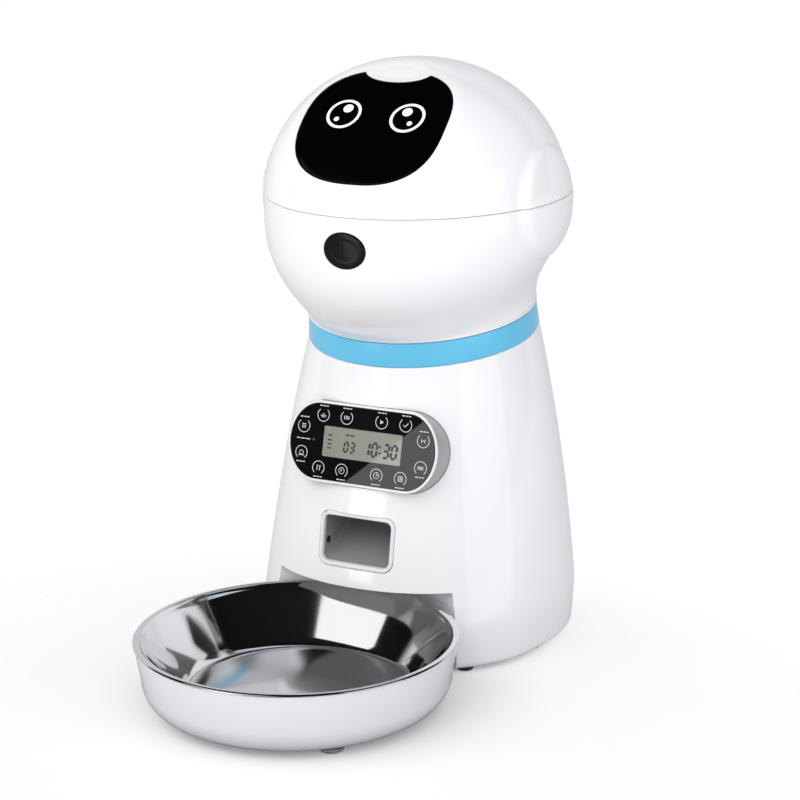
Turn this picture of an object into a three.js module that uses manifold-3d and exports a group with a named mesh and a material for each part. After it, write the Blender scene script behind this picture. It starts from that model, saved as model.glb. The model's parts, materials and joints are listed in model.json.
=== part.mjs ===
// Automatic pet feeder: a tapered casing with a round head that holds the dry food, a lid with a dark
// visor, a control panel, an outlet at the front and a steel bowl in a tray that docks into the base.
// Millimetres, +Z up, front towards -Y. Origin: bottom centre of the whole object's box.
import * as THREE from "three";
import { mergeVertices } from "three/addons/utils/BufferGeometryUtils.js";
import Module from "manifold-3d";

const wasm = await Module();
wasm.setup();

// ---------------------------------------------------------------- driving dimensions
const fit = 0.3; // gap between pieces that seat on each other
const run = 0.6; // gap round pieces that move
const wall = 2.4; // moulded wall
const reach = 400; // length of a cutting tool that has to pass right through
const over = 4; // how far a cutting tool runs past a face
const around = 28; // facets round the large shells
const facets = 16; // facets round middle-sized bodies
const few = 10; // facets round small ones
const cornerCuts = 3; // facets of a rounded corner

const casing = {
  floorGap: 2, // lower edge above the table
  edge: 4, // rounding of the lower edge
  creaseZ: 29, // where the sloping wall turns upright
  flare: 3.6, // how much wider than the head its foot is
  bulge: 3, // how far the wall bows out between base and neck
  y: 5.8,
  corner: 0.45, // how much squarer the front of the foot is than a circle
};
const neck = { y: 10, z: 202.4, height: 15, lowR: 73.3, topR: 72.2, tilt: 7.5, spigotR: 69.9, depth: 12 };
const head = { radius: 95.4, rise: 89.5, y: 2.5, z: 277, roundness: 2.1, swell: 4.8, waist: 1.15, rearWaist: 2.3 };
const seam = { z: 285, tilt: 1.3, gap: 0.3 };
const face = {
  ahead: 54, // from the head's centre to the middle of the face
  above: 60,
  tilt: 41,
  across: 480,
  along: 150,
  depth: 100,
  blend: 4,
  edge: 45,
};
const visor = { halfWidth: 48.5, up: 45.2, down: 43.7, drop: 4.6, squareness: 2.6, thick: 1.4, seat: 0.3 };
const scoop = { halfWidth: 22.5, halfHeight: 10.2, up: 40.2 };
const ear = { y: 2, z: 283, radius: 34, proud: 2.6 };
const lid = { wall: 3, lipIn: 6.8, lipWall: 2.4, shelf: 5, lipEnd: 1 };
const gasket = { width: 3.6, grip: 0.4, top: 0.7, bottom: -1.6 };
const hinge = { out: 4.2, barrelR: 3.6, pinR: 1.5, boreR: 1.58, lidWidth: 24, earWidth: 11.7 };
const hopper = {
  wall: 2,
  rimIn: 0.8, // from the head's inner wall
  rimThick: 2,
  rimTop: -1.9, // below the seam
  ledge: 3,
  wallIn: 11,
  straight: 21, // how far the upper wall runs down before it narrows
  shoulderOut: 11, // from the throat
  shoulderZ: 238,
  throatIn: 7.5, // from the neck's bore
  throatZ: 205,
  spoutDepth: 4, // how far the spout reaches into the rotor's housing
};
const mouth = {
  z: 263,
  halfWidth: 14,
  halfHeight: 11,
  proud: 0.6,
  flangeIn: 6.6, // from the head's inner wall
  flange: 1.5,
  flangeThick: 1.6,
  catchDrop: 7,
  nose: 1,
};
const spring = { coilR: 3.2, wireR: 0.35, turns: 3, length: 4, bossR: 4.5, sides: 5, steps: 10 };
const striker = { halfWidth: 4, thick: 1.6, wallIn: 0.8, nose: 0.5, drop: 6.4, noseTall: 1 };
const desiccant = { radius: 24, height: 16, y: 18, drop: 8, skin: 2, slots: 5, pitch: 6 };

const panel = { proud: 0.9, z: 137.5, tilt: 14.2, halfLength: 51.9, halfHeight: 25.2, endLength: 21 };
const bezel = { rim: 1.7, depth: 19, ledgeWidth: 3, ledgeDepth: 6.3 };
const faceplate = { recess: 0.3, thick: 2 };
const display = { halfWidth: 27, halfHeight: 9.3, up: 0.5, recess: 0.7, border: 2.5 };
const statusLed = { x: -33.8, up: 0.6, radius: 0.9 };
const microphone = { x: 40, up: -9, radius: 3, height: 4 };

const outlet = { z: 79, halfWidth: 25.7, halfHeight: 16.6, corner: 6.5, rim: 2.4, proud: 0.6, depth: 2.6 };
const chute = {
  wall: 2,
  back: 22, // from the rotor's axis to the rear wall of the fall
  front: 46,
  roofDrop: 5, // from the rotor's floor to where the roof of the slope begins
  floorDrop: 7,
};
const sensor = { back: 9, drop: 4, radius: 2.6, body: 5, proud: 0.5 };

const rotor = { y: 8, floorZ: 104, floorThick: 3, wallR: 56, height: 39, vaneGap: 4.1, vanes: 6, vane: 2.4 };
const legs = { radius: 4, x: 40, front: 4, rear: 49 }; // under the rotor's housing, from its middle
const hub = { radius: 10, low: 108, high: 136, shaftR: 4, shaftOut: 3, edge: 1 };
const agitator = { taper: 2, skirt: 9, height: 12, armR: 2, arm: 32, armZ: 6, lean: 50, turn: 20 };
const gear = { module: 1, teeth: 32, pinionTeeth: 12, low: 95, thick: 6, backlash: 0.12, shaftR: 2 };
const tooth = { addendum: 0.9, dedendum: 1.25, tipShare: 0.24, rootShare: 0.72 };
const motor = { radius: 13, low: 57, high: 91.7, shaftIn: 4, endR: 5.9, end: 2 };
const bracket = { thick: 1.6, halfWidth: 27, front: 9, back: 11, postX: 23, postBack: 4, postR: 3.2 };

const bay = { ahead: 9.8, side: 2.8, head: 1.8, wall: 2 }; // clearances round the cells
const grip = { halfWidth: 12, fromEdge: 6, width: 4, depth: 1 }; // finger groove in the battery door
const cell = { radius: 16.6, length: 60.6, lift: 0.9, noseR: 4.5, nose: 1 };
const contact = { thick: 0.8, bumpR: 5, bump: 1.2, inset: 4, lift: 1 };
const basePlate = { z: 5, thick: 2.5 };
const foot = { radius: 5.5, inset: 8.7, clear: 0.5, rearTurn: 47, chamfer: 1 };
const baseScrew = { headR: 3, head: 1.6, shankR: 1.4, length: 13, bossR: 4.2, boss: 24 };
const screwTurns = [-12, 68]; // degrees round the casing, on each side
const socket = { z: 16, halfWidth: 4.6, low: 7.8, high: 21, length: 18.8, noseR: 4.4, boreR: 3.2, pinR: 1 };
const jack = { boreFrom: 4, pinFrom: 2, noseFrom: 1 }; // along the socket, from its inner end
const speaker = { radius: 13, height: 9, rim: 2, taper: 6, magnetR: 8 };
const sound = { slots: 5, pitch: 5, halfLength: 9, halfWidth: 1 }; // slots under the speaker
const mainBoard = { x: 18, width: 40, back: 26, length: 38, thick: 1.6, lift: 4, postR: 3, postIn: 5 };
const chip = { x: 8, y: 10, side: 12, tall: 2 }; // from the board's corner
const plug = { x: 28, y: 22, width: 10, length: 12, tall: 8 };
const capacitor = { x: 28, y: 9, radius: 4, tall: 11 };

const tray = { ahead: 65.8, inset: 3, taper: 3.4, z: 3, rimZ: 42.7, edge: 18, wall: 2.2 };
const dock = { gap: 10, roofZ: 51, lugHalf: 14, lugLow: 8, lugHigh: 14, lugIn: 4 };
const trayFoot = { radius: 7.3, inset: 23, chamfer: 0.8 };
const bowl = { over: 0.9, flange: 1.4, roll: 0.8, sheet: 1, bend: 1.8, rim: 4.4, slope: 30, floorZ: 11 };

// ---------------------------------------------------------------- sizes that follow from them
const casingR = head.radius + casing.flare;
const headInside = head.radius - wall;
const lipR = headInside - lid.lipIn;
const trayR = casingR - tray.inset;
const trayY = casing.y - casingR - tray.ahead;
const recessR = trayR + dock.gap;
const plateTop = basePlate.z + basePlate.thick;
const cellPitch = 2 * cell.radius + 2 * fit;
const cellZ = plateTop + cell.lift + cell.radius;
const bayHalf = 1.5 * cellPitch + bay.side;
const bayFront = casing.y - bay.ahead;
const cellY = bayFront + contact.thick + contact.bump + 2 * fit;
const bayRear = cellY + cell.length + contact.thick + contact.bump + 2 * fit;
const bayRoof = cellZ + cell.radius + bay.head;

// ---------------------------------------------------------------- tools
const lerp = THREE.MathUtils.lerp;
const radians = THREE.MathUtils.degToRad;
const vec = (x, y, z) => new THREE.Vector3(x, y, z);

function frameAt(x, y, z, turnX = 0, turnY = 0, turnZ = 0) {
  const turn = new THREE.Quaternion().setFromEuler(new THREE.Euler(turnX, turnY, turnZ));
  return new THREE.Matrix4().compose(vec(x, y, z), turn, vec(1, 1, 1));
}

// A closed geometry as a manifold-3d solid: shared vertices merged and collapsed triangles left out.
function solid(geometry, frame) {
  const bare = geometry.clone();
  bare.deleteAttribute("normal");
  bare.deleteAttribute("uv");
  if (frame) bare.applyMatrix4(frame);
  const merged = mergeVertices(bare, 1e-4);
  const corners = merged.index.array;
  const kept = [];
  for (let i = 0; i < corners.length; i += 3) {
    const [a, b, c] = corners.subarray(i, i + 3);
    if (a !== b && b !== c && c !== a) kept.push(a, b, c);
  }
  const vertProperties = merged.attributes.position.array;
  return new wasm.Manifold(new wasm.Mesh({ numProp: 3, vertProperties, triVerts: new Uint32Array(kept) }));
}

function geometryOf(body) {
  const mesh = body.getMesh();
  const geometry = new THREE.BufferGeometry();
  geometry.setAttribute("position", new THREE.BufferAttribute(mesh.vertProperties, 3));
  geometry.setIndex(new THREE.BufferAttribute(mesh.triVerts, 1));
  geometry.computeVertexNormals();
  return geometry;
}

// A solid through a stack of rings, each closed round the axis, with its first and last ring filled.
function loft(rings, frame) {
  const count = rings[0].length;
  const last = rings.length - 1;
  const middle = (ring) => ring.reduce((sum, p) => sum.add(p), vec(0, 0, 0)).divideScalar(count);
  const points = [middle(rings[0]), ...rings.flat(), middle(rings[last])];
  const at = (row, i) => 1 + row * count + (i % count);
  const index = [];
  for (let i = 0; i < count; i++) {
    index.push(0, at(0, i + 1), at(0, i));
    for (let row = 0; row < last; row++) {
      index.push(at(row, i), at(row, i + 1), at(row + 1, i + 1));
      index.push(at(row, i), at(row + 1, i + 1), at(row + 1, i));
    }
    index.push(points.length - 1, at(last, i), at(last, i + 1));
  }
  const geometry = new THREE.BufferGeometry().setFromPoints(points);
  geometry.setIndex(index);
  return solid(geometry, frame);
}

const ring = (point) => Array.from({ length: around }, (_, i) => point((i / around) * 2 * Math.PI));

function box(x0, x1, y0, y1, z0, z1, frame) {
  const geometry = new THREE.BoxGeometry(x1 - x0, y1 - y0, z1 - z0);
  geometry.translate((x0 + x1) / 2, (y0 + y1) / 2, (z0 + z1) / 2);
  return solid(geometry, frame);
}

// A profile of [radius, height] pairs, going up on its outer side, turned round the Z axis.
function turned(profile, frame, sides = facets) {
  const points = profile.map(([r, z]) => new THREE.Vector2(r, z));
  const geometry = new THREE.LatheGeometry(points, sides).rotateX(Math.PI / 2);
  return solid(geometry, frame);
}

function disc(radius, z0, z1, frame, sides) {
  return turned([[0, z0], [radius, z0], [radius, z1], [0, z1]], frame, sides);
}

function tube(outR, inR, z0, z1, frame, sides) {
  return turned([[inR, z1], [inR, z0], [outR, z0], [outR, z1], [inR, z1]], frame, sides);
}

function prism(shape, z0, z1, frame, curveSegments = 8) {
  const geometry = new THREE.ExtrudeGeometry(shape, { depth: z1 - z0, bevelEnabled: false, curveSegments });
  geometry.translate(0, 0, z0);
  return solid(geometry, frame);
}

function ellipse(halfWidth, halfHeight, sides, up = 0) {
  const points = Array.from({ length: sides }, (_, i) => {
    const angle = (i / sides) * 2 * Math.PI;
    return new THREE.Vector2(halfWidth * Math.cos(angle), up + halfHeight * Math.sin(angle));
  });
  return new THREE.Shape(points);
}

function roundedRect(halfWidth, halfHeight, corner) {
  const shape = new THREE.Shape();
  const x = halfWidth - corner;
  const y = halfHeight - corner;
  shape.absarc(x, y, corner, 0, Math.PI / 2);
  shape.absarc(-x, y, corner, Math.PI / 2, Math.PI);
  shape.absarc(-x, -y, corner, Math.PI, 1.5 * Math.PI);
  shape.absarc(x, -y, corner, 1.5 * Math.PI, 2 * Math.PI);
  return shape;
}

const rod = (radius, x, y, z0, z1) => disc(radius, z0, z1, frameAt(x, y, 0), few);
const mirrored = (list) => list.flatMap(([x, y]) => [[x, y], [-x, y]]);
const union = (parts) => parts.reduce((sum, part) => sum.add(part));

// ---------------------------------------------------------------- frames that pieces share
const neckTilt = radians(neck.tilt);
const neckFrame = frameAt(0, neck.y, neck.z, neckTilt);
const seamFrame = frameAt(0, head.y, seam.z, radians(seam.tilt));
const [faceY, faceZ] = [head.y - face.ahead, head.z + face.above];
const faceFrame = frameAt(0, faceY, faceZ, radians(face.tilt));
const outletFrame = frameAt(0, 0, outlet.z, Math.PI / 2);
const mouthFrame = frameAt(0, 0, mouth.z, Math.PI / 2);
const trayFrame = frameAt(0, trayY, 0);
const socketY = casing.y + casingR - socket.length;
const socketFrame = frameAt(0, socketY, socket.z, -Math.PI / 2);

const neckTop = neck.height / 2;
const insideAll = (frame, z0, z1) => box(-reach, reach, -reach, reach, z0, z1, frame);

// ---------------------------------------------------------------- casing surface
const polar = (radius, angle, z) => vec(radius * Math.cos(angle), radius * Math.sin(angle), z);

// The foot is round behind and squarer in front; square says by how much.
function footPoint(angle, z, inset, square) {
  const power = Math.sin(angle) < 0 ? 2 / (2 + square) : 1;
  const bend = (value) => Math.sign(value) * Math.abs(value) ** power;
  const radius = casingR - inset;
  return vec(radius * bend(Math.cos(angle)), casing.y + radius * bend(Math.sin(angle)), z);
}
const squareAt = (z) => casing.corner * (1 - z / (2 * casing.creaseZ));

// The wall above the foot: rise is 0 at the crease and 1 at the tilted neck.
function wallPoint(angle, rise, inset) {
  const foot = footPoint(angle, casing.creaseZ, inset, squareAt(casing.creaseZ) * (1 - rise) ** 2);
  const rim = polar(neck.lowR - inset, angle, -neckTop - seam.gap).applyMatrix4(neckFrame);
  return foot.lerp(rim, rise).add(polar(4 * casing.bulge * rise * (1 - rise), angle, 0));
}

// Where the wall's front line lies at a height.
function frontAt(z) {
  const low = wallPoint(-Math.PI / 2, 0, 0);
  const high = wallPoint(-Math.PI / 2, 1, 0);
  return wallPoint(-Math.PI / 2, (z - low.z) / (high.z - low.z), 0).y;
}
const panelFrame = frameAt(0, frontAt(panel.z) - panel.proud, panel.z, Math.PI / 2 - radians(panel.tilt));

// The casing's outline as a solid, offset inwards by inset; an open one runs on past its top and bottom.
function casingSolid(inset, open = true) {
  const low = casing.floorGap;
  const lowRing = (z, cut) => ring((angle) => footPoint(angle, z, cut, squareAt(z)));
  const rings = open ? [lowRing(-low, inset)] : [];
  for (const turn of open ? [] : [0, 45]) {
    const [side, down] = [1 - Math.sin(radians(turn)), 1 - Math.cos(radians(turn))];
    rings.push(lowRing(low + casing.edge * down, inset + casing.edge * side));
  }
  rings.push(lowRing(low + casing.edge, inset));
  for (const rise of [0, 0.2, 0.45, 0.7, 0.88, open ? 1.1 : 1])
    rings.push(ring((angle) => wallPoint(angle, rise, inset)));
  return loft(rings);
}

// ---------------------------------------------------------------- head surfaces
function lowerHeadSolid(inset, startZ, endZ) {
  const steps = [0, 0.06, 0.14, 0.25, 0.4, 0.6, 0.8, 1];
  const rings = steps.map((step) =>
    ring((angle) => {
      const foot = polar(neck.topR - inset, angle, neckTop + startZ).applyMatrix4(neckFrame);
      const rim = polar(head.radius - inset, angle, endZ).applyMatrix4(seamFrame);
      const rear = (1 + Math.sin(angle)) / 2;
      const spread = 1 - (1 - step ** (head.waist + head.rearWaist * rear)) ** head.swell;
      const point = foot.clone().lerp(rim, spread);
      point.z = lerp(foot.z, rim.z, step);
      return point;
    }),
  );
  return loft(rings);
}

// Distance from the head's centre to the dome in a direction: an egg shape, blended into the flatter face.
const headCentre = vec(0, head.y, head.z);
const faceNormal = vec(0, -Math.sin(radians(face.tilt)), Math.cos(radians(face.tilt)));
const faceUp = vec(0, Math.cos(radians(face.tilt)), Math.sin(radians(face.tilt)));
const faceCentre = vec(0, faceY, faceZ).addScaledVector(faceNormal, -face.depth);

function domeReach(direction) {
  const flat = Math.hypot(direction.x, direction.y) / head.radius;
  const tall = Math.abs(direction.z) / head.rise;
  const egg = (flat ** head.roundness + tall ** head.roundness) ** (-1 / head.roundness);
  const stretch = (v) => vec(v.x / face.across, v.dot(faceUp) / face.along, v.dot(faceNormal) / face.depth);
  const start = stretch(headCentre.clone().sub(faceCentre));
  const going = stretch(direction);
  const [a, b, c] = [going.lengthSq(), going.dot(start), start.lengthSq() - 1];
  const front = (Math.sqrt(b * b - a * c) - b) / a;
  const mix = THREE.MathUtils.clamp(0.5 + (front - egg) / (2 * face.blend), 0, 1);
  return lerp(front, egg, mix) - face.blend * mix * (1 - mix);
}

function domeSolid(inset) {
  const rings = [];
  for (const fall of [97, 82, 67, 52, 38, 25, 12, 0]) {
    const tilt = radians(fall);
    rings.push(
      ring((angle) => {
        const direction = polar(Math.sin(tilt), angle, Math.cos(tilt));
        return headCentre.clone().addScaledVector(direction, domeReach(direction) - inset);
      }),
    );
  }
  return loft(rings);
}

const earDisc = (side) => {
  const frame = frameAt(0, ear.y, ear.z, 0, (side * Math.PI) / 2);
  return disc(ear.radius, head.radius / 2, head.radius + ear.proud, frame);
};
const ears = () => earDisc(1).add(earDisc(-1));

// ---------------------------------------------------------------- outlines
function visorShape(grow) {
  const corners = 32;
  const points = Array.from({ length: corners }, (_, i) => {
    const angle = (i / corners) * 2 * Math.PI;
    const bend = (value) => Math.sign(value) * Math.abs(value) ** (2 / visor.squareness);
    const high = Math.sin(angle) < 0 ? visor.down : visor.up;
    const x = (visor.halfWidth + grow) * bend(Math.cos(angle));
    return new THREE.Vector2(x, (high + grow) * bend(Math.sin(angle)) - visor.drop);
  });
  return new THREE.Shape(points);
}

function visorPrism(grow, low, high) {
  const plate = prism(visorShape(grow), low, high, faceFrame);
  const notch = ellipse(scoop.halfWidth - grow, scoop.halfHeight - grow, facets, scoop.up);
  return plate.subtract(prism(notch, low - over, high + over, faceFrame));
}

// A bar with half-elliptical ends, the outline of the control panel.
function panelShape(inset) {
  const shape = new THREE.Shape();
  const straight = panel.halfLength - panel.endLength;
  const endX = panel.endLength - inset;
  const endY = panel.halfHeight - inset;
  shape.absellipse(straight, 0, endX, endY, -Math.PI / 2, Math.PI / 2);
  shape.absellipse(-straight, 0, endX, endY, Math.PI / 2, 1.5 * Math.PI);
  return shape;
}
const panelPrism = (inset, low, high) => prism(panelShape(inset), low, high, panelFrame, 6);

function gearShape(teeth, bore) {
  const pitchR = (gear.module * teeth) / 2;
  const half = Math.PI / teeth;
  const thin = gear.backlash / pitchR;
  const rootR = pitchR - tooth.dedendum * gear.module;
  const tipR = pitchR + tooth.addendum * gear.module;
  const flanks = [
    [rootR, -tooth.rootShare],
    [tipR, -tooth.tipShare],
    [tipR, tooth.tipShare],
    [rootR, tooth.rootShare],
  ];
  const points = [];
  for (let i = 0; i < teeth; i++)
    for (const [radius, share] of flanks) {
      const angle = (2 * i + share) * half - Math.sign(share) * thin;
      points.push(new THREE.Vector2(radius * Math.cos(angle), radius * Math.sin(angle)));
    }
  const shape = new THREE.Shape(points);
  if (bore) shape.holes.push(ellipse(bore, bore, facets));
  return shape;
}

// ---------------------------------------------------------------- materials
const finish = (color, roughness, metalness = 0) =>
  new THREE.MeshStandardMaterial({ color, roughness, metalness });
const whiteGloss = finish(0xf4f4f7, 0.18);
const innerWhite = finish(0xe6e6ea, 0.4);
const skyBlue = finish(0x58b8e0, 0.3);
const visorBlack = finish(0x050506, 0.1);
const panelBlack = finish(0x0b0b0d, 0.15);
const silver = finish(0xb9bbc0, 0.3, 0.7);
const greyPlastic = finish(0x77787c, 0.45);
const smoke = finish(0x3a3c40, 0.4);
const rubber = finish(0x151515, 0.8);
const silicone = finish(0xd8d8da, 0.6);
const steel = finish(0xc8c8cc, 0.12, 1);
const zincSteel = finish(0xa9adb3, 0.35, 1);
const lcdGreen = finish(0x8f9a8c, 0.3);
const circuitGreen = finish(0x1f5a3a, 0.5);
const acetal = finish(0xe9e6da, 0.45);
const redLamp = finish(0xc03028, 0.3);
const cellJacket = finish(0x3a5f8f, 0.4);
const clearRubber = finish(0xe8eaee, 0.3);

const feeder = new THREE.Group();
function piece(name, body, material) {
  const mesh = new THREE.Mesh(geometryOf(body), material);
  mesh.name = name;
  feeder.add(mesh);
}

// ---------------------------------------------------------------- casing
// A foot's place along the casing's lower edge; the front ones stand just clear of the tray's recess.
const footPlace = (angle) => footPoint(angle, 0, foot.inset, casing.corner);
function frontFootAngle() {
  const clear = recessR + wall + foot.clear + foot.radius;
  let [low, high] = [-Math.PI / 2, 0];
  for (let i = 0; i < 20; i++) {
    const middle = (low + high) / 2;
    const spot = footPlace(middle);
    if (Math.hypot(spot.x, spot.y - trayY) < clear) low = middle;
    else high = middle;
  }
  return high;
}
const footSpots = [footPlace(frontFootAngle()), footPlace(radians(foot.rearTurn))];
const footPlaces = mirrored(footSpots.map((spot) => [spot.x, spot.y]));

// The screws' heads lie just clear of the casing's wall, behind the front feet and before the rear ones.
const screwPlaces = screwTurns.flatMap((degrees) => {
  const spot = footPoint(radians(degrees), basePlate.z, wall + baseScrew.headR + run, casing.corner);
  return mirrored([[spot.x, spot.y]]);
});
const screwTop = plateTop + fit;

function recess(grow, low, high) {
  return disc(recessR + grow, low, high + grow, trayFrame, 40);
}

function buildCasing() {
  const hollow = casingSolid(wall).subtract(recess(wall, -casing.edge, dock.roofZ));
  const bosses = screwPlaces.map(([x, y]) => rod(baseScrew.bossR, x, y, screwTop, screwTop + baseScrew.boss));
  const shell = casingSolid(0, false)
    .subtract(hollow)
    .add(union(bosses).intersect(casingSolid(wall / 2)));
  const slotX = dock.lugHalf + run;
  const rearWallY = trayY + recessR;
  const slotEnds = [dock.lugLow - run, dock.lugHigh + run];
  const outletHole = roundedRect(outlet.halfWidth + fit, outlet.halfHeight + fit, outlet.corner);
  const screwEnd = basePlate.z + baseScrew.length + fit;
  const cuts = [
    recess(0, -casing.edge, dock.roofZ),
    panelPrism(-fit, -bezel.depth - wall, reach),
    prism(outletHole, 0, reach, outletFrame, cornerCuts),
    box(-slotX, slotX, rearWallY - wall, rearWallY + 2 * wall, ...slotEnds),
    disc(socket.noseR + fit, 0, reach, socketFrame),
    ...screwPlaces.map(([x, y]) => rod(baseScrew.shankR + fit, x, y, 0, screwEnd)),
  ];
  return cuts.reduce((body, cut) => body.subtract(cut), shell);
}
piece("casing", buildCasing(), whiteGloss);

// ---------------------------------------------------------------- base plate and battery bay
const boardZ = bayRoof + bay.wall + mainBoard.lift;
const boardX = mainBoard.x;
const boardY = bayFront + mainBoard.back;
const boardPosts = [
  [boardX + mainBoard.postIn, boardY + mainBoard.length - mainBoard.postIn],
  [boardX + mainBoard.width - mainBoard.postIn, boardY + mainBoard.postIn],
];
// The speaker lies between the bay and the casing's wall.
const speakerX = -(bayHalf + bay.wall + casingR - wall - fit) / 2;

// Five slots let the sound of the speaker out through the plate.
function soundSlots() {
  const { slots, pitch, halfLength, halfWidth } = sound;
  const rows = Array.from({ length: slots }, (_, i) => {
    const y = casing.y + (i - (slots - 1) / 2) * pitch;
    return box(speakerX - halfLength, speakerX + halfLength, y - halfWidth, y + halfWidth, 0, reach);
  });
  return union(rows);
}

function buildBasePlate() {
  const outside = casingSolid(wall + fit).subtract(recess(wall + fit, -casing.edge, dock.roofZ));
  const room = (grow, low) =>
    box(-bayHalf - grow, bayHalf + grow, bayFront - grow, bayRear + grow, low, bayRoof + grow);
  const posts = boardPosts.map(([x, y]) => rod(mainBoard.postR, x, y, bayRoof, boardZ - fit));
  const holes = screwPlaces.map(([x, y]) => rod(baseScrew.shankR + fit, x, y, 0, screwTop));
  return outside
    .intersect(insideAll(null, basePlate.z, plateTop))
    .subtract(soundSlots())
    .add(room(bay.wall, plateTop - 1))
    .add(union(posts))
    .subtract(room(0, 0))
    .subtract(union(holes));
}
piece("base_plate", buildBasePlate(), innerWhite);

const doorX = bayHalf - fit;
const door = box(-doorX, doorX, bayFront + fit, bayRear - fit, basePlate.z, plateTop);
const gripY = bayRear - grip.fromEdge;
const groove = box(-grip.halfWidth, grip.halfWidth, gripY - grip.width, gripY, 0, basePlate.z + grip.depth);
piece("battery_door", door.subtract(groove), innerWhite);

const places = [-1, 0, 1];
for (const place of places) {
  const { radius, noseR, length, nose } = cell;
  const end = length - nose;
  const profile = [[0, 0], [radius, 0], [radius, end], [noseR, end], [noseR, length], [0, length]];
  const frame = frameAt(place * cellPitch, cellY, cellZ, -Math.PI / 2);
  piece(`battery_${place + 2}`, turned(profile, frame), cellJacket);
}

// A strip stands against one end of the bay, its bumps towards the cells.
function contactStrip(y, direction) {
  const ends = [y, y + direction * contact.thick].sort((a, b) => a - b);
  const halfX = bayHalf - contact.inset;
  const strip = box(-halfX, halfX, ...ends, plateTop + contact.lift, bayRoof - contact.inset);
  const bumps = places.map((place) => {
    const frame = frameAt(place * cellPitch, y, cellZ, (-direction * Math.PI) / 2);
    return disc(contact.bumpR, contact.thick / 2, contact.thick + contact.bump, frame, few);
  });
  return strip.add(union(bumps));
}
piece("contact_front", contactStrip(bayFront + fit, 1), zincSteel);
piece("contact_rear", contactStrip(bayRear - fit, -1), zincSteel);

function footBody({ radius, chamfer }, top, x, y) {
  const profile = [[0, 0], [radius - chamfer, 0], [radius, chamfer], [radius, top], [0, top]];
  return turned(profile, frameAt(x, y, 0), few);
}
footPlaces.forEach(([x, y], i) => piece(`foot_${i + 1}`, footBody(foot, basePlate.z - fit, x, y), rubber));

screwPlaces.forEach(([x, y], i) => {
  const { headR, shankR, head: tall, length } = baseScrew;
  const end = tall + length;
  const profile = [[0, 0], [headR, 0], [headR, tall], [shankR, tall], [shankR, end], [0, end]];
  const frame = frameAt(x, y, basePlate.z - fit - tall);
  piece(`base_screw_${i + 1}`, turned(profile, frame, few), zincSteel);
});

// ---------------------------------------------------------------- electrics on the base
function buildSocket() {
  const { halfWidth, low, high, length, noseR, boreR, pinR } = socket;
  const nose = length - wall / 2;
  return box(-halfWidth, halfWidth, socketY, socketY + length - 2 * wall, low, high)
    .add(disc(noseR, jack.noseFrom, nose, socketFrame))
    .subtract(disc(boreR, jack.boreFrom, nose + over, socketFrame))
    .add(disc(pinR, jack.pinFrom, nose - wall, socketFrame, few));
}
piece("dc_socket", buildSocket(), smoke);

function buildSpeaker() {
  const { radius, height, rim, taper, magnetR } = speaker;
  const profile = [[0, 0], [radius, 0], [radius, rim], [magnetR, taper], [magnetR, height], [0, height]];
  return turned(profile, frameAt(speakerX, casing.y, plateTop + fit));
}
piece("speaker", buildSpeaker(), smoke);

function buildMainBoard() {
  const top = boardZ + mainBoard.thick;
  const part = (x, y, width, length, high) =>
    box(boardX + x, boardX + x + width, boardY + y, boardY + y + length, boardZ, high);
  return part(0, 0, mainBoard.width, mainBoard.length, top)
    .add(part(chip.x, chip.y, chip.side, chip.side, top + chip.tall))
    .add(part(plug.x, plug.y, plug.width, plug.length, top + plug.tall))
    .add(rod(capacitor.radius, boardX + capacitor.x, boardY + capacitor.y, boardZ, top + capacitor.tall));
}
piece("main_board", buildMainBoard(), circuitGreen);

// ---------------------------------------------------------------- food rotor and its drive
const housingTop = rotor.floorZ + rotor.height;
const rotorFrame = frameAt(0, rotor.y, 0);
const shaftHole = (top) => disc(hub.shaftR + fit, 0, top, rotorFrame);
const chuteHalf = outlet.halfWidth - outlet.rim;

function buildHousing() {
  const shell = disc(rotor.wallR, rotor.floorZ, housingTop, rotorFrame, around);
  const room = disc(rotor.wallR - wall, rotor.floorZ + rotor.floorThick, reach, rotorFrame, around);
  const fall = box(-chuteHalf, chuteHalf, rotor.y - chute.front, rotor.y - chute.back, 0, reach);
  const legPlaces = [...mirrored([[legs.x, rotor.y - legs.front]]), [0, rotor.y + legs.rear]];
  const legLow = bayRoof + bay.wall + fit;
  const standing = legPlaces.map(([x, y]) => rod(legs.radius, x, y, legLow, rotor.floorZ + 1));
  return shell.subtract(room).subtract(fall).subtract(shaftHole(reach)).add(union(standing));
}
piece("rotor_housing", buildHousing(), innerWhite);

function buildRotor() {
  const vaneIn = (hub.radius + hub.shaftR) / 2;
  const vaneR = rotor.wallR - wall - rotor.vaneGap;
  const vanes = Array.from({ length: rotor.vanes }, (_, i) => {
    const turn = ((i + 0.5) / rotor.vanes) * 2 * Math.PI;
    const frame = frameAt(0, rotor.y, 0, 0, 0, turn);
    const halfThick = rotor.vane / 2;
    return box(vaneIn, vaneR, -halfThick, halfThick, hub.low + hub.edge, hub.high - 2 * hub.edge, frame);
  });
  return union(vanes).add(disc(hub.radius, hub.low, hub.high, rotorFrame)).subtract(shaftHole(reach));
}
piece("rotor", buildRotor(), silicone);

const shaftTop = hub.high + hub.shaftOut;
piece("rotor_shaft", disc(hub.shaftR, gear.low - 1, shaftTop, rotorFrame), zincSteel);

function buildAgitator() {
  const { skirt, height, armR, arm, armZ, lean, turn } = agitator;
  const low = hub.high + fit;
  const topR = hub.radius - agitator.taper;
  const profile = [[0, low], [hub.radius, low], [topR, hub.high + skirt], [0, hub.high + height]];
  const arms = [turn, turn + 180].map((degrees) => {
    const frame = frameAt(0, rotor.y, hub.high + armZ, 0, radians(lean), radians(degrees));
    return disc(armR, 0, arm, frame, few);
  });
  return turned(profile, rotorFrame).add(union(arms)).subtract(shaftHole(shaftTop + fit));
}
piece("agitator", buildAgitator(), acetal);

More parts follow.
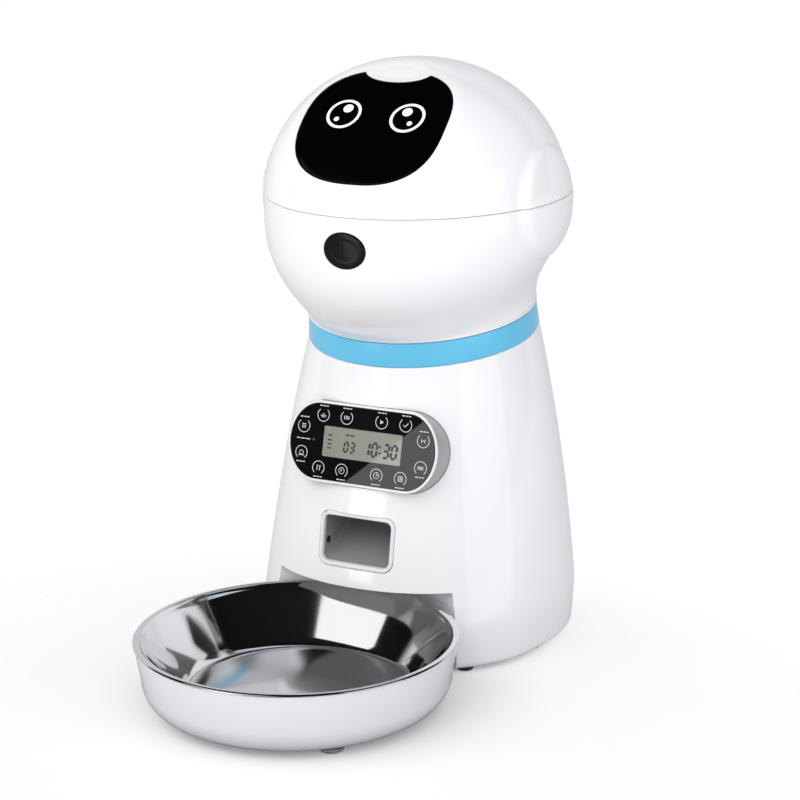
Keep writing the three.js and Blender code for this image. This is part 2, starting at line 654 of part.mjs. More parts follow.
const gearTop = gear.low + gear.thick;
const pinionY = rotor.y + (gear.module * (gear.teeth + gear.pinionTeeth)) / 2;
const pinionTurn = -Math.PI / 2 + Math.PI / gear.pinionTeeth;
const gearFrame = frameAt(0, rotor.y, 0, 0, 0, Math.PI / 2);
const pinionFrame = frameAt(0, pinionY, 0, 0, 0, pinionTurn);
const drivenShape = gearShape(gear.teeth, hub.shaftR + fit);
piece("driven_gear", prism(drivenShape, gear.low, gearTop, gearFrame), acetal);
const pinionTeeth = prism(gearShape(gear.pinionTeeth, 0), gear.low, gearTop, pinionFrame);
const motorShaft = disc(gear.shaftR, motor.high - motor.shaftIn, gearTop, pinionFrame, few);
piece("pinion", pinionTeeth.add(motorShaft), acetal);

const motorHole = disc(gear.shaftR + fit, motor.high - motor.shaftIn - fit, reach, pinionFrame, few);
const motorCan = disc(motor.radius, motor.low, motor.high, pinionFrame)
  .add(disc(motor.endR, motor.low - motor.end, motor.low + motor.end, pinionFrame));
piece("gear_motor", motorCan.subtract(motorHole), zincSteel);

function buildBracket() {
  const { thick, halfWidth, front, back, postX, postBack, postR } = bracket;
  const low = motor.high + fit;
  const plate = box(-halfWidth, halfWidth, pinionY - front, pinionY + back, low, low + thick);
  const posts = [postX, -postX].map((x) => rod(postR, x, pinionY + postBack, low, rotor.floorZ - fit));
  return plate.subtract(motorHole).add(union(posts));
}
piece("motor_bracket", buildBracket(), zincSteel);

// ---------------------------------------------------------------- chute and outlet
// Turns a drawing in the YZ plane into a body of the given half width across X.
function acrossX(points, half) {
  const shape = new THREE.Shape(points.map(([y, z]) => new THREE.Vector2(y, z)));
  const frame = new THREE.Matrix4().makeBasis(vec(0, 1, 0), vec(0, 0, 1), vec(1, 0, 0));
  return prism(shape, -half, half, frame);
}
const chuteTop = rotor.floorZ - fit;
const mouthY = frontAt(outlet.z);
function chuteDuct(grow, top) {
  const rearY = rotor.y - chute.back + grow;
  const fallY = rotor.y - chute.front - grow;
  const mouthHalf = outlet.halfHeight - outlet.rim + fit + grow;
  return [
    [rearY, top],
    [fallY, top],
    [fallY, rotor.floorZ - chute.roofDrop + grow],
    [mouthY, outlet.z + mouthHalf],
    [mouthY, outlet.z - mouthHalf],
    [rearY, rotor.floorZ - chute.floorDrop - grow],
  ];
}

function sensorFrame(side) {
  const x = side * (chuteHalf - sensor.proud);
  return frameAt(x, mouthY + sensor.back, outlet.z - sensor.drop, 0, (side * Math.PI) / 2);
}

function buildChute() {
  const outside = acrossX(chuteDuct(chute.wall, chuteTop), chuteHalf + chute.wall);
  const inside = acrossX(chuteDuct(0, chuteTop + 1), chuteHalf);
  const eyes = [1, -1].map((side) => disc(sensor.radius + fit, -1, outlet.halfWidth, sensorFrame(side)));
  return outside
    .subtract(inside)
    .intersect(casingSolid(outlet.depth + fit))
    .subtract(union(eyes));
}
piece("chute", buildChute(), greyPlastic);

function buildOutletRim() {
  const { halfWidth, halfHeight, corner, rim } = outlet;
  const inside = roundedRect(halfWidth - rim, halfHeight - rim, corner - rim);
  return prism(roundedRect(halfWidth, halfHeight, corner), 0, reach, outletFrame, cornerCuts)
    .subtract(prism(inside, -1, reach, outletFrame, cornerCuts))
    .intersect(casingSolid(-outlet.proud))
    .subtract(casingSolid(outlet.depth));
}
piece("outlet_rim", buildOutletRim(), innerWhite);
[["infrared_sensor", -1], ["infrared_emitter", 1]].forEach(([name, side]) =>
  piece(name, disc(sensor.radius, 0, sensor.body, sensorFrame(side)), panelBlack),
);

// ---------------------------------------------------------------- control panel
const ledgeTop = -faceplate.recess - faceplate.thick - fit;
const ledgeLow = ledgeTop - bezel.ledgeDepth;
const boardFace = ledgeLow - fit;
const inPanel = (x, up) => panelFrame.clone().multiply(frameAt(x, up, 0));

function windowPrism(grow, low, high) {
  const halfX = display.halfWidth + grow;
  const halfY = display.halfHeight + grow;
  return box(-halfX, halfX, display.up - halfY, display.up + halfY, low, high, panelFrame);
}

function buildBezel() {
  const ledge = panelPrism(bezel.rim / 2, ledgeLow, ledgeTop)
    .subtract(panelPrism(bezel.rim + bezel.ledgeWidth, ledgeLow - 1, 0));
  return panelPrism(0, -bezel.depth, 0)
    .subtract(panelPrism(bezel.rim, -bezel.depth - 1, 1))
    .add(ledge);
}
piece("panel_bezel", buildBezel(), silver);

const ledFrame = inPanel(statusLed.x, statusLed.up);
const faceBody = panelPrism(bezel.rim + fit, ledgeTop + fit, -faceplate.recess)
  .subtract(windowPrism(fit, -reach, reach))
  .subtract(disc(statusLed.radius + fit, -reach, reach, ledFrame, few));
piece("panel_face", faceBody, panelBlack);
const displayBody = windowPrism(0, ledgeTop - 1, -display.recess)
  .add(windowPrism(display.border, ledgeLow, ledgeTop));
piece("display_module", displayBody, lcdGreen);
piece("panel_board", panelPrism(bezel.rim + fit, boardFace - faceplate.thick, boardFace), circuitGreen);
piece("status_led", disc(statusLed.radius, ledgeLow, -faceplate.recess, ledFrame, few), redLamp);
const micFrame = inPanel(microphone.x, microphone.up);
piece("microphone", disc(microphone.radius, ledgeLow, ledgeLow + microphone.height, micFrame), smoke);

// ---------------------------------------------------------------- neck ring
function buildNeckRing() {
  const { lowR, topR, spigotR } = neck;
  const bore = spigotR + fit;
  const profile = [[bore, neckTop], [bore, -neckTop], [lowR, -neckTop], [topR, neckTop], [bore, neckTop]];
  return turned(profile, neckFrame, around);
}
piece("neck_ring", buildNeckRing(), skyBlue);

// ---------------------------------------------------------------- hinge and latch places
const hingeY = head.radius + hinge.out;
const hingeFrame = seamFrame.clone().multiply(frameAt(0, hingeY, 0, 0, Math.PI / 2));

// A barrel round the pin, with a web from it to the shell on one side of the seam.
function knuckle(from, to, webLow, webHigh) {
  const web = box(from, to, headInside / 2, hingeY, webLow, webHigh, seamFrame);
  const inside = disc(headInside + fit, -hinge.barrelR - 1, hinge.barrelR + 1, seamFrame, around);
  return disc(hinge.barrelR, from, to, hingeFrame).add(web.subtract(inside));
}
const pinBore = () => disc(hinge.boreR, -reach, reach, hingeFrame);
const lidKnuckleX = hinge.lidWidth / 2;
const pinHalf = lidKnuckleX + fit + hinge.earWidth;
const earKnuckles = [[lidKnuckleX + fit, pinHalf], [-pinHalf, -lidKnuckleX - fit]];

// The striker hangs from the lid just inside the head's wall; slots let it past the hopper's rim.
const strikerFront = striker.wallIn - headInside;
const strikerRear = strikerFront + striker.thick;
const slotHalf = striker.halfWidth + run;
const strikerSlot = () => box(-slotHalf, slotHalf, -reach, strikerRear + 2 * run, -reach, 0, seamFrame);
const mouthOval = (grow) => ellipse(mouth.halfWidth + grow, mouth.halfHeight + grow, facets);

// ---------------------------------------------------------------- lower head
function buildLowerHead() {
  const collarTop = neckTop + seam.gap + wall;
  const spigotBore = neck.spigotR - wall;
  const spigot = tube(neck.spigotR, spigotBore, -neckTop - neck.depth, collarTop, neckFrame, around);
  const ledgeZ = hopper.rimTop - hopper.rimThick - fit;
  const ledgeR = headInside - hopper.ledge;
  const ledge = tube(headInside + wall / 2, ledgeR, ledgeZ - wall, ledgeZ, seamFrame, around);
  const pads = ears()
    .intersect(lowerHeadSolid(-ear.proud, seam.gap, 0))
    .subtract(lowerHeadSolid(wall / 2, seam.gap, over));
  const knuckles = earKnuckles.map(([from, to]) => knuckle(from, to, -hinge.barrelR, -seam.gap / 2));
  return lowerHeadSolid(0, seam.gap, 0)
    .subtract(lowerHeadSolid(wall, seam.gap + wall, over))
    .add(spigot)
    .subtract(disc(spigotBore, -reach, collarTop + 1, neckFrame, around))
    .add(ledge.subtract(strikerSlot()))
    .add(pads)
    .subtract(insideAll(seamFrame, -seam.gap / 2, reach))
    .add(union(knuckles))
    .subtract(pinBore())
    .subtract(prism(mouthOval(run / 2), 0, reach, mouthFrame));
}
piece("lower_head", buildLowerHead(), whiteGloss);
piece("hinge_pin", disc(hinge.pinR, -pinHalf, pinHalf, hingeFrame), zincSteel);

// ---------------------------------------------------------------- hopper
const flangeFront = headInside - mouth.flangeIn;
const flangeBack = flangeFront - mouth.flangeThick;

function hopperSolid(inset, startZ, endZ) {
  const { wallIn, throatIn, throatZ, shoulderOut, shoulderZ, rimTop, straight } = hopper;
  const spoutR = rotor.wallR - wall - fit;
  const throatR = neck.spigotR - wall - throatIn;
  const level = (radius, z, y) => ring((angle) => polar(radius - inset, angle, z).add(vec(0, y, 0)));
  const upper = (z) => ring((angle) => polar(headInside - wallIn - inset, angle, z).applyMatrix4(seamFrame));
  return loft([
    level(spoutR, startZ, rotor.y),
    level(spoutR, housingTop + fit, rotor.y),
    level(throatR, throatZ, neck.y),
    level(throatR + shoulderOut, shoulderZ, (neck.y + head.y) / 2),
    upper(rimTop - straight),
    upper(endZ),
  ]);
}

function buildHopper() {
  const { rimIn, wallIn, rimTop, rimThick, wall: sheet, spoutDepth } = hopper;
  const innerR = headInside - wallIn - sheet;
  const rim = tube(headInside - rimIn, innerR, rimTop - rimThick, rimTop, seamFrame, around);
  const seat = disc(spring.bossR, innerR - head.y, flangeBack - spring.length, mouthFrame);
  const spoutZ = housingTop - spoutDepth;
  return hopperSolid(0, spoutZ, rimTop)
    .add(rim)
    .add(seat)
    .subtract(hopperSolid(sheet, spoutZ - 1, rimTop + 1))
    .subtract(strikerSlot());
}
piece("hopper", buildHopper(), innerWhite);

// ---------------------------------------------------------------- lid, visor, gasket and desiccant box
const desiccantTop = head.z + head.rise - lid.wall - desiccant.drop;
const desiccantFrame = frameAt(0, desiccant.y, desiccantTop - desiccant.height);

function buildStriker() {
  const { halfWidth, drop, nose, noseTall } = striker;
  const part = (from, to, top) => box(-halfWidth, halfWidth, from, to, -drop, top, seamFrame);
  const leg = part(strikerFront, strikerRear, lid.shelf - lid.lipEnd);
  return leg.add(part(strikerRear - nose, strikerRear + nose, noseTall - drop));
}

function buildLid() {
  const { lipWall, lipEnd, shelf } = lid;
  const pads = ears().intersect(domeSolid(-ear.proud));
  const lipTray = tube(headInside + wall / 2, lipR - lipWall, shelf - lipWall, shelf, seamFrame, around);
  const stemR = desiccant.radius / 2;
  const stemLow = desiccant.height + fit;
  const stem = tube(stemR, stemR - wall, stemLow, reach, desiccantFrame);
  const visorSeat = visorPrism(0, -face.edge, reach).subtract(domeSolid(visor.thick + visor.seat));
  return domeSolid(0)
    .add(pads)
    .subtract(domeSolid(lid.wall))
    .intersect(insideAll(seamFrame, seam.gap / 2, reach))
    .add(lipTray)
    .add(tube(lipR, lipR - lipWall, lipEnd, shelf, seamFrame, around))
    .add(knuckle(-lidKnuckleX, lidKnuckleX, seam.gap / 2, hinge.barrelR))
    .add(stem.intersect(domeSolid(lid.wall / 2)))
    .add(buildStriker())
    .subtract(pinBore())
    .subtract(visorSeat);
}
piece("lid", buildLid(), whiteGloss);

const visorOuter = visorPrism(-fit, -face.edge, reach).intersect(domeSolid(0));
piece("visor", visorOuter.subtract(domeSolid(visor.thick)), visorBlack);
const gasketR = lipR + gasket.grip;
const gasketBody = tube(gasketR, gasketR - gasket.width, gasket.bottom, gasket.top, seamFrame, around);
piece("lid_gasket", gasketBody, silicone);

function buildDesiccantBox() {
  const { radius, height, skin, slots, pitch } = desiccant;
  const room = disc(radius - skin, skin, height - skin, desiccantFrame);
  const cuts = Array.from({ length: slots }, (_, i) => {
    const y = (i - (slots - 1) / 2) * pitch;
    return box(-radius / 2, radius / 2, y - pitch / 5, y + pitch / 5, -1, skin + 1, desiccantFrame);
  });
  return disc(radius, 0, height, desiccantFrame).subtract(room).subtract(union(cuts));
}
piece("desiccant_box", buildDesiccantBox(), greyPlastic);

// ---------------------------------------------------------------- lid latch at the mouth
// The button slides back against its spring; its catch stands behind the striker's nose.
function buildLatchButton() {
  const cap = prism(mouthOval(0), flangeFront - 1, reach, mouthFrame)
    .intersect(lowerHeadSolid(-mouth.proud, seam.gap, 1));
  const flange = prism(mouthOval(mouth.flange), flangeBack, flangeFront, mouthFrame);
  const catchTop = seam.z - mouth.z - mouth.catchDrop;
  const { halfWidth, noseTall } = striker;
  const part = (low, from, to) => box(-halfWidth, halfWidth, low, catchTop, from, to, mouthFrame);
  return cap
    .add(flange)
    .add(part(0, flangeBack, flangeFront))
    .add(part(catchTop - noseTall, flangeFront - 1, flangeFront + mouth.nose));
}
piece("latch_button", buildLatchButton(), visorBlack);

// A coil along the push direction, between the button's flange and its seat on the hopper.
class Coil extends THREE.Curve {
  getPoint(t) {
    const angle = 2 * Math.PI * spring.turns * t;
    const slack = spring.wireR + fit;
    const along = lerp(slack, spring.length - slack, t);
    return vec(spring.coilR * Math.cos(angle), spring.coilR * Math.sin(angle), along);
  }
}
const coilWire = new THREE.ExtrudeGeometry(ellipse(spring.wireR, spring.wireR, spring.sides), {
  steps: spring.steps * spring.turns,
  extrudePath: new Coil(),
});
const coilFrame = mouthFrame.clone().multiply(frameAt(0, 0, flangeBack, Math.PI));
piece("latch_spring", solid(coilWire, coilFrame), zincSteel);

// ---------------------------------------------------------------- tray, bowl and their feet
function buildTray() {
  const { z, rimZ, edge, taper, wall: skin } = tray;
  const lowR = trayR - taper;
  const curve = (inset) =>
    [0, 22.5, 45, 67.5, 90].map((turn) => {
      const angle = radians(turn);
      const radius = edge - inset;
      return [lowR - edge + radius * Math.sin(angle), z + edge - radius * Math.cos(angle)];
    });
  const inner = curve(skin).reverse();
  const profile = [[0, z], ...curve(0), [trayR, rimZ], [trayR - skin, rimZ], ...inner, [0, z + skin]];
  const lugFrom = trayY + lowR - edge;
  const lugTo = trayY + recessR + dock.lugIn;
  const lug = box(-dock.lugHalf, dock.lugHalf, lugFrom, lugTo, dock.lugLow, dock.lugHigh);
  const well = disc(lowR - 2 * skin, dock.lugLow - 1, dock.lugHigh + 1, trayFrame, around);
  return turned(profile, trayFrame, around).add(lug.subtract(well));
}
piece("tray", buildTray(), whiteGloss);

// The bowl hangs by its rolled flange on the tray's edge.
function buildBowl() {
  const { over: lap, flange, roll, rim, slope, floorZ, sheet, bend } = bowl;
  const rimR = trayR + lap;
  const wellR = trayR - rim;
  const floorR = trayR - slope;
  const low = tray.rimZ + fit;
  const high = low + flange;
  const under = floorZ - sheet;
  const profile = [
    [0, under],
    [floorR, under],
    [floorR + bend, under + bend / 2],
    [wellR + sheet, low - flange],
    [wellR + bend, low],
    [rimR - roll, low],
    [rimR, low + flange / 2],
    [rimR - roll / 2, high],
    [wellR + bend, high],
    [wellR, high - flange],
    [floorR + bend / 2, floorZ + bend / 2],
    [floorR, floorZ],
    [0, floorZ],
  ];
  return turned(profile, trayFrame, around);
}
piece("bowl", buildBowl(), steel);

for (let i = 0; i < 4; i++) {
  const angle = radians(45 + 90 * i);
  const circle = trayR - trayFoot.inset;
  const [x, y] = [circle * Math.cos(angle), trayY + circle * Math.sin(angle)];
  piece(`tray_foot_${i + 1}`, footBody(trayFoot, tray.z - fit, x, y), clearRubber);
}

// ---------------------------------------------------------------- the part's own origin
const extent = new THREE.Box3().setFromObject(feeder);
feeder.position.y = -(extent.min.y + extent.max.y) / 2;
export default feeder;
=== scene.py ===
"""An automatic pet feeder in its finished looks.

Shapes are drawn in millimetres on the feeder's own axes, then set down over the solid model.
"""

import json
import math

import bmesh
import bpy
import numpy as np
from mathutils import Matrix, Vector
from mathutils.bvhtree import BVHTree


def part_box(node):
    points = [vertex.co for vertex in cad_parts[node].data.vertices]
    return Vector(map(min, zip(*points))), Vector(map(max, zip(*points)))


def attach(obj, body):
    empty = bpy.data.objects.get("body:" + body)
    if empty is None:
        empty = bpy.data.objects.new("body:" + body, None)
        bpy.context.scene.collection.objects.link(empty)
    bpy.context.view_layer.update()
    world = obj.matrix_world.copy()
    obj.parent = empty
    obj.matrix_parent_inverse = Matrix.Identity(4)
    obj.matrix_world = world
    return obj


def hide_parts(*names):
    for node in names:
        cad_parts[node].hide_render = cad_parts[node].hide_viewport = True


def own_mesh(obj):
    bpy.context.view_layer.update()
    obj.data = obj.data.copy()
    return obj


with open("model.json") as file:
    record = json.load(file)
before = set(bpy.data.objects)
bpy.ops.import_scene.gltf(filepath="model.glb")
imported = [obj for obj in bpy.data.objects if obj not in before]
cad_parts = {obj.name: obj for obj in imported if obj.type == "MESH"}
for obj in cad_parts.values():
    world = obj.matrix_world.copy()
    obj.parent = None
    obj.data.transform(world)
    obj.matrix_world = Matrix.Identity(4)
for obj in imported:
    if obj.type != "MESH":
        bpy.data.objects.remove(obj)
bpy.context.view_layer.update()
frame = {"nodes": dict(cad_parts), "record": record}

# -------- sizes, in millimetres
AROUND = 192  # points round the large shells
FIT = 0.3  # gap between pieces that seat on each other
RUN = 0.6  # gap round pieces that move
WALL = 2.4  # moulded wall
PRINT = 0.05  # how far printed marks stand up
SUNK = 0.1  # how far they reach down
REACH = 200.0  # where a body that cuts outwards ends, clear of every wall

FLOOR_GAP = 2.0
LOWER_EDGE = 4.0
CREASE_Z = 29.0
FOOT_R = 99.0
FOOT_LEAN = 2.2
BULGE = 3.0
CASING_Y = 5.8
SQUARENESS = 0.45

NECK_HALF = 7.5
NECK_LOW_R = 73.3
NECK_TOP_R = 72.2
SPIGOT_R = 69.9
SPIGOT_DEPTH = 12.0

HEAD_R = 95.4
HEAD_RISE = 89.5
HEAD_Y = 2.5
HEAD_Z = 277.0
ROUNDNESS = 2.1
SWELL = 4.8
WAIST = 1.15
REAR_WAIST = 2.3
MOUTH_Z = 263.0
SEAM_GAP = 0.3
SEAM_ROUND = 0.55
HEAD_INSIDE = HEAD_R - WALL
LID_WALL = 3.0

EAR_Y = 2.0
EAR_Z = 283.0
EAR_FLAT = 31.0
EAR_FOOT = 36.5
EAR_PROUD = 2.6

TRAY_R = 96.0
TRAY_Y = -159.0
TRAY_RIM_Z = 42.7
RECESS_R = 106.0
RECESS_ROOF = 51.0

PANEL_LENGTH = 51.9
PANEL_HEIGHT = 25.2
PANEL_END = 21.0
BEZEL_RIM = 1.7
FACE_RECESS = 0.3
DISPLAY_UP = 0.5

OUTLET_Z = 79.0
OUTLET_HALF = (25.7, 16.6)
OUTLET_CORNER = 6.5
OUTLET_RIM = 2.4
OUTLET_DEPTH = 2.6
OUTLET_PROUD = 0.6

LUG_HALF = 14.0  # the tray's tongue
LUG_LOW = 8.0
LUG_HIGH = 14.0
INLET_Z = 16.0
INLET_R = 4.4
MOUTH_HALF = (14.0, 11.0)
CROWN_Z = 339.5  # the underside of the desiccant box
CROWN_Y = 18.0
DRYER_HIGH = 16.0

ROTOR_Y = 8.0
HOUSING_TOP = 143.0

# The drawing's origin lies the tray's distance behind the middle of the bowl.
bowl_low, bowl_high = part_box("bowl")
SHIFT = (bowl_low.y + bowl_high.y) / 2 * 1000 - TRAY_Y

TURNS = np.linspace(0, 2 * np.pi, AROUND, endpoint=False)


# -------- places and rings
class Place:
    """A spot on the feeder with its own across, up and out directions."""

    def __init__(self, matrix):
        self.matrix = matrix

    def at(self, x=0.0, y=0.0, z=0.0, tilt=0.0, swing=0.0, spin=0.0):
        turn = Matrix.Rotation(math.radians(tilt), 4, "X")
        turn = turn @ Matrix.Rotation(math.radians(swing), 4, "Y")
        turn = turn @ Matrix.Rotation(math.radians(spin), 4, "Z")
        return Place(self.matrix @ Matrix.Translation((x, y, z)) @ turn)

    def put(self, x, y, z):
        points = np.stack(np.broadcast_arrays(x, y, z, 1.0), -1).astype(float)
        return (points @ np.array(self.matrix).T)[..., :3]

    def out(self):
        return np.array(self.matrix)[:3, 2]

    def up(self):
        return np.array(self.matrix)[:3, 1]


ground = Place(Matrix.Identity(4))
neck = ground.at(0, 10, 202.4, tilt=7.5)
seam = ground.at(0, HEAD_Y, 285, tilt=1.3)
face = ground.at(0, -51.5, 337, tilt=41)
outlet = ground.at(0, 0, OUTLET_Z, tilt=90)
mouth = ground.at(0, 0, MOUTH_Z, tilt=90)
tray = ground.at(0, TRAY_Y)
rotor = ground.at(0, ROTOR_Y)


def ease(value):
    value = np.clip(value, 0, 1)
    return value * value * (3 - 2 * value)


def round_ring(place, radius, height):
    return place.put(radius * np.cos(TURNS), radius * np.sin(TURNS), height)


def corner(radius, steps=5):
    """Pairs that go round a quarter circle: how far in from the face, and how far below the top."""
    turns = np.linspace(0, np.pi / 2, steps)
    return [(radius * (1 - np.cos(turn)), radius * (1 - np.sin(turn))) for turn in turns]


def bent(value, power):
    return np.sign(value) * np.abs(value) ** power


# -------- making solids
def skin(rings, looped=False):
    """A closed skin through rings of points; open ends are drawn to a point."""
    rings = [np.asarray(ring) for ring in rings]
    if looped:
        rings.append(rings[0])
    else:
        rings = [rings[0] * 0 + rings[0].mean(0), *rings, rings[-1] * 0 + rings[-1].mean(0)]
    sheet = np.stack([np.vstack([ring, ring[:1]]) for ring in rings])
    body = bmesh.new()
    bmesh.ops.create_grid(body, x_segments=sheet.shape[1] - 1, y_segments=sheet.shape[0] - 1, size=1)
    for vertex, point in zip(body.verts, sheet.reshape(-1, 3)):
        vertex.co = point
    bmesh.ops.remove_doubles(body, verts=body.verts, dist=1e-4)
    bmesh.ops.dissolve_degenerate(body, edges=body.edges, dist=1e-5)
    bmesh.ops.recalc_face_normals(body, faces=body.faces)
    return as_object(body)


def as_object(body):
    mesh = bpy.data.meshes.new("work")
    body.to_mesh(mesh)
    body.free()
    thing = bpy.data.objects.new("work", mesh)
    bpy.context.scene.collection.objects.link(thing)
    return thing


def softened(body, where, offset, affect, segments):
    bmesh.ops.bevel(
        body, geom=where, offset=offset, offset_type="OFFSET", segments=segments, profile=0.5,
        affect=affect, material=-1, clamp_overlap=affect == "VERTICES",
    )


def placed(body, place):
    """Sets a drawn body at its place, with its faces outwards."""
    bmesh.ops.recalc_face_normals(body, faces=body.faces)
    bmesh.ops.transform(body, matrix=place.matrix, verts=body.verts)
    return as_object(body)


def turned(profile, place, steps, soften=0.0):
    """A profile of (radius, height) pairs turned round the place's axis, its corners softened."""
    body = bmesh.new()
    verts = [body.verts.new((r, 0, z)) for r, z in profile]
    on_axis = profile[0][0] == 0 and profile[-1][0] == 0
    for pair in zip(verts, verts[1:]):
        body.edges.new(pair)
    if not on_axis:
        body.edges.new((verts[-1], verts[0]))
    if soften:
        softened(body, [v for v in verts if v.co.x > 0], soften, "VERTICES", 4)
    bmesh.ops.spin(
        body, geom=body.verts[:] + body.edges[:], cent=(0, 0, 0), axis=(0, 0, 1),
        angle=2 * math.pi, steps=steps, use_merge=True,
    )
    bmesh.ops.remove_doubles(body, verts=body.verts, dist=1e-4)
    return placed(body, place)


def slab(outline, low, high, place, soften=0.0):
    """A flat outline of (across, up) points raised from low to high, with its edges softened."""
    body = bmesh.new()
    base = body.faces.new([body.verts.new((x, y, low)) for x, y in outline])
    raised = bmesh.ops.extrude_face_region(body, geom=[base])["geom"]
    top = [v for v in raised if isinstance(v, bmesh.types.BMVert)]
    bmesh.ops.translate(body, vec=(0, 0, high - low), verts=top)
    if soften:
        flat = [e for e in body.edges if abs(e.verts[0].co.z - e.verts[1].co.z) < 1e-6]
        softened(body, flat, soften, "EDGES", 3)
    return placed(body, place)


def brick(x0, x1, y0, y1, z0, z1, place=ground, soften=0.0):
    """A block with all its edges softened."""
    body = bmesh.new()
    bmesh.ops.create_cube(body, size=1)
    bmesh.ops.scale(body, vec=(x1 - x0, y1 - y0, z1 - z0), verts=body.verts)
    bmesh.ops.translate(body, vec=((x0 + x1) / 2, (y0 + y1) / 2, (z0 + z1) / 2), verts=body.verts)
    if soften:
        softened(body, body.edges[:], soften, "EDGES", 3)
    return placed(body, place)


def discard(thing):
    mesh = thing.data
    bpy.data.objects.remove(thing)
    bpy.data.meshes.remove(mesh)


def cut(thing, *tools):
    """Takes the tools out of a solid; they are used up."""
    for tool in tools:
        change = thing.modifiers.new("work", "BOOLEAN")
        change.operation = "DIFFERENCE"
        change.object = tool
        change.solver = "MANIFOLD"
        mesh = bpy.data.meshes.new_from_object(thing.evaluated_get(bpy.context.evaluated_depsgraph_get()))
        thing.modifiers.clear()
        old, thing.data = thing.data, mesh
        bpy.data.meshes.remove(old)
        discard(tool)
    return thing


def joined(*things):
    """Several closed bodies kept as one piece."""
    body = bmesh.new()
    for thing in things:
        body.from_mesh(thing.data)
        discard(thing)
    return as_object(body)


# -------- outlines
def arc(middle, radius, start, end, count, endpoint=True):
    turns = np.radians(np.linspace(start, end, count, endpoint=endpoint))
    return np.stack([middle[0] + radius * np.cos(turns), middle[1] + radius * np.sin(turns)], -1)


def circle(radius, count, middle=(0, 0)):
    return arc(middle, radius, 0, 360, count, endpoint=False)


def mouth_outline(grow):
    """The mouth's oval, grown by a margin."""
    return circle(1, 96) * (MOUTH_HALF[0] + grow, MOUTH_HALF[1] + grow)


def rounded_rectangle(half_width, half_height, radius, count=10):
    quarter = arc((0, 0), radius, 0, 90, count)
    outline = []
    for i, (sx, sy) in enumerate([(1, 1), (-1, 1), (-1, -1), (1, -1)]):
        angle = i * np.pi / 2
        spin = np.array([[np.cos(angle), np.sin(angle)], [-np.sin(angle), np.cos(angle)]])
        outline.append(quarter @ spin + (sx * (half_width - radius), sy * (half_height - radius)))
    return np.vstack(outline)


def panel_outline(inset):
    """A bar with half-elliptical ends."""
    bow = arc((0, 0), 1, -90, 90, 40) * (PANEL_END - inset, PANEL_HEIGHT - inset)
    end = bow + (PANEL_LENGTH - PANEL_END, 0)
    return np.vstack([end, -end])


VISOR_HALF = 48.5
VISOR_UP = 45.2
VISOR_DOWN = 43.7
VISOR_DROP = 4.6
VISOR_SQUARENESS = 2.6
SCOOP = (22.5, 10.2)
SCOOP_UP = 40.2


def visor_outline(grow, count=160):
    """The visor's shield: from one horn round the foot to the other, then back along the notch."""
    width, height = SCOOP[0] - grow, SCOOP[1] - grow

    def shield(turns):
        high = np.where(np.sin(turns) < 0, VISOR_DOWN, VISOR_UP) + grow
        x, y = (bent(part, 2 / VISOR_SQUARENESS) for part in (np.cos(turns), np.sin(turns)))
        return np.stack([(VISOR_HALF + grow) * x, high * y - VISOR_DROP], -1)

    def notch(turns):
        return np.stack([width * np.cos(turns), SCOOP_UP + height * np.sin(turns)], -1)

    fine = np.linspace(-np.pi / 2, np.pi / 2, 4000)
    rim = shield(fine)
    in_notch = (rim[:, 0] / width) ** 2 + ((rim[:, 1] - SCOOP_UP) / height) ** 2 <= 1
    horn = fine[np.argmax(in_notch) - 1]
    right = shield(np.linspace(-np.pi / 2, horn, count // 2))
    x, y = right[-1]
    side = math.atan2((y - SCOOP_UP) / height, x / width)
    dip = notch(np.linspace(side, -np.pi - side, count // 3))[1:-1]
    left = right[::-1][:-1] * (-1, 1)
    return np.vstack([right, dip, left])


# -------- the feeder's surfaces
def foot_ring(z, inset):
    """A ring of the band under the crease: squarer in front, and leaning in towards the floor."""
    square = SQUARENESS * (1 - max(z, 0) / (2 * CREASE_Z))
    radius = FOOT_R - inset - FOOT_LEAN * max(1 - z / CREASE_Z, 0)
    return squared_ring(z, radius, square)


def squared_ring(z, radius, square):
    power = 2 / (2 + square * ease(-2.5 * np.sin(TURNS)))
    return ground.put(radius * bent(np.cos(TURNS), power), CASING_Y + radius * bent(np.sin(TURNS), power), z)


def wall_ring(rise, inset):
    """The sloping wall: rise is 0 at the crease and 1 at the tilted neck."""
    low = squared_ring(CREASE_Z, FOOT_R - inset, SQUARENESS / 2 * max(1 - rise, 0) ** 2)
    rim = round_ring(neck, NECK_LOW_R - inset, -NECK_HALF - SEAM_GAP)
    bow = 4 * BULGE * rise * (1 - rise)
    return low * (1 - rise) + rim * rise + ground.put(bow * np.cos(TURNS), bow * np.sin(TURNS), 0)


def casing_rings(inset, closed):
    """Rings up the casing's wall, with the crease softened; an open stack runs on past both ends."""
    rings = [foot_ring(z, inset) for z in np.linspace(FLOOR_GAP + LOWER_EDGE, CREASE_Z, 9)]
    rings += [wall_ring(rise, inset) for rise in np.linspace(0, 1, 76)[1:]]
    stack = np.stack(rings)
    height = stack[:, :, 2].mean(1)
    near = np.clip(1.6 - np.abs(height - CREASE_Z) / 9, 0, 1)[1:-1, None, None] * 0.5
    for _ in range(5):
        stack[1:-1] += near * ((stack[:-2] + stack[2:]) / 2 - stack[1:-1])
    if not closed:
        return [foot_ring(-FLOOR_GAP, inset), *stack, wall_ring(1.08, inset)]
    edge = [foot_ring(FLOOR_GAP + up, inside) for up, inside in corner(LOWER_EDGE, 8)[:-1]]
    top = [wall_ring(1 - down / 165, inside) for inside, down in corner(0.7)]
    return [*edge, *stack[:-1], *top]


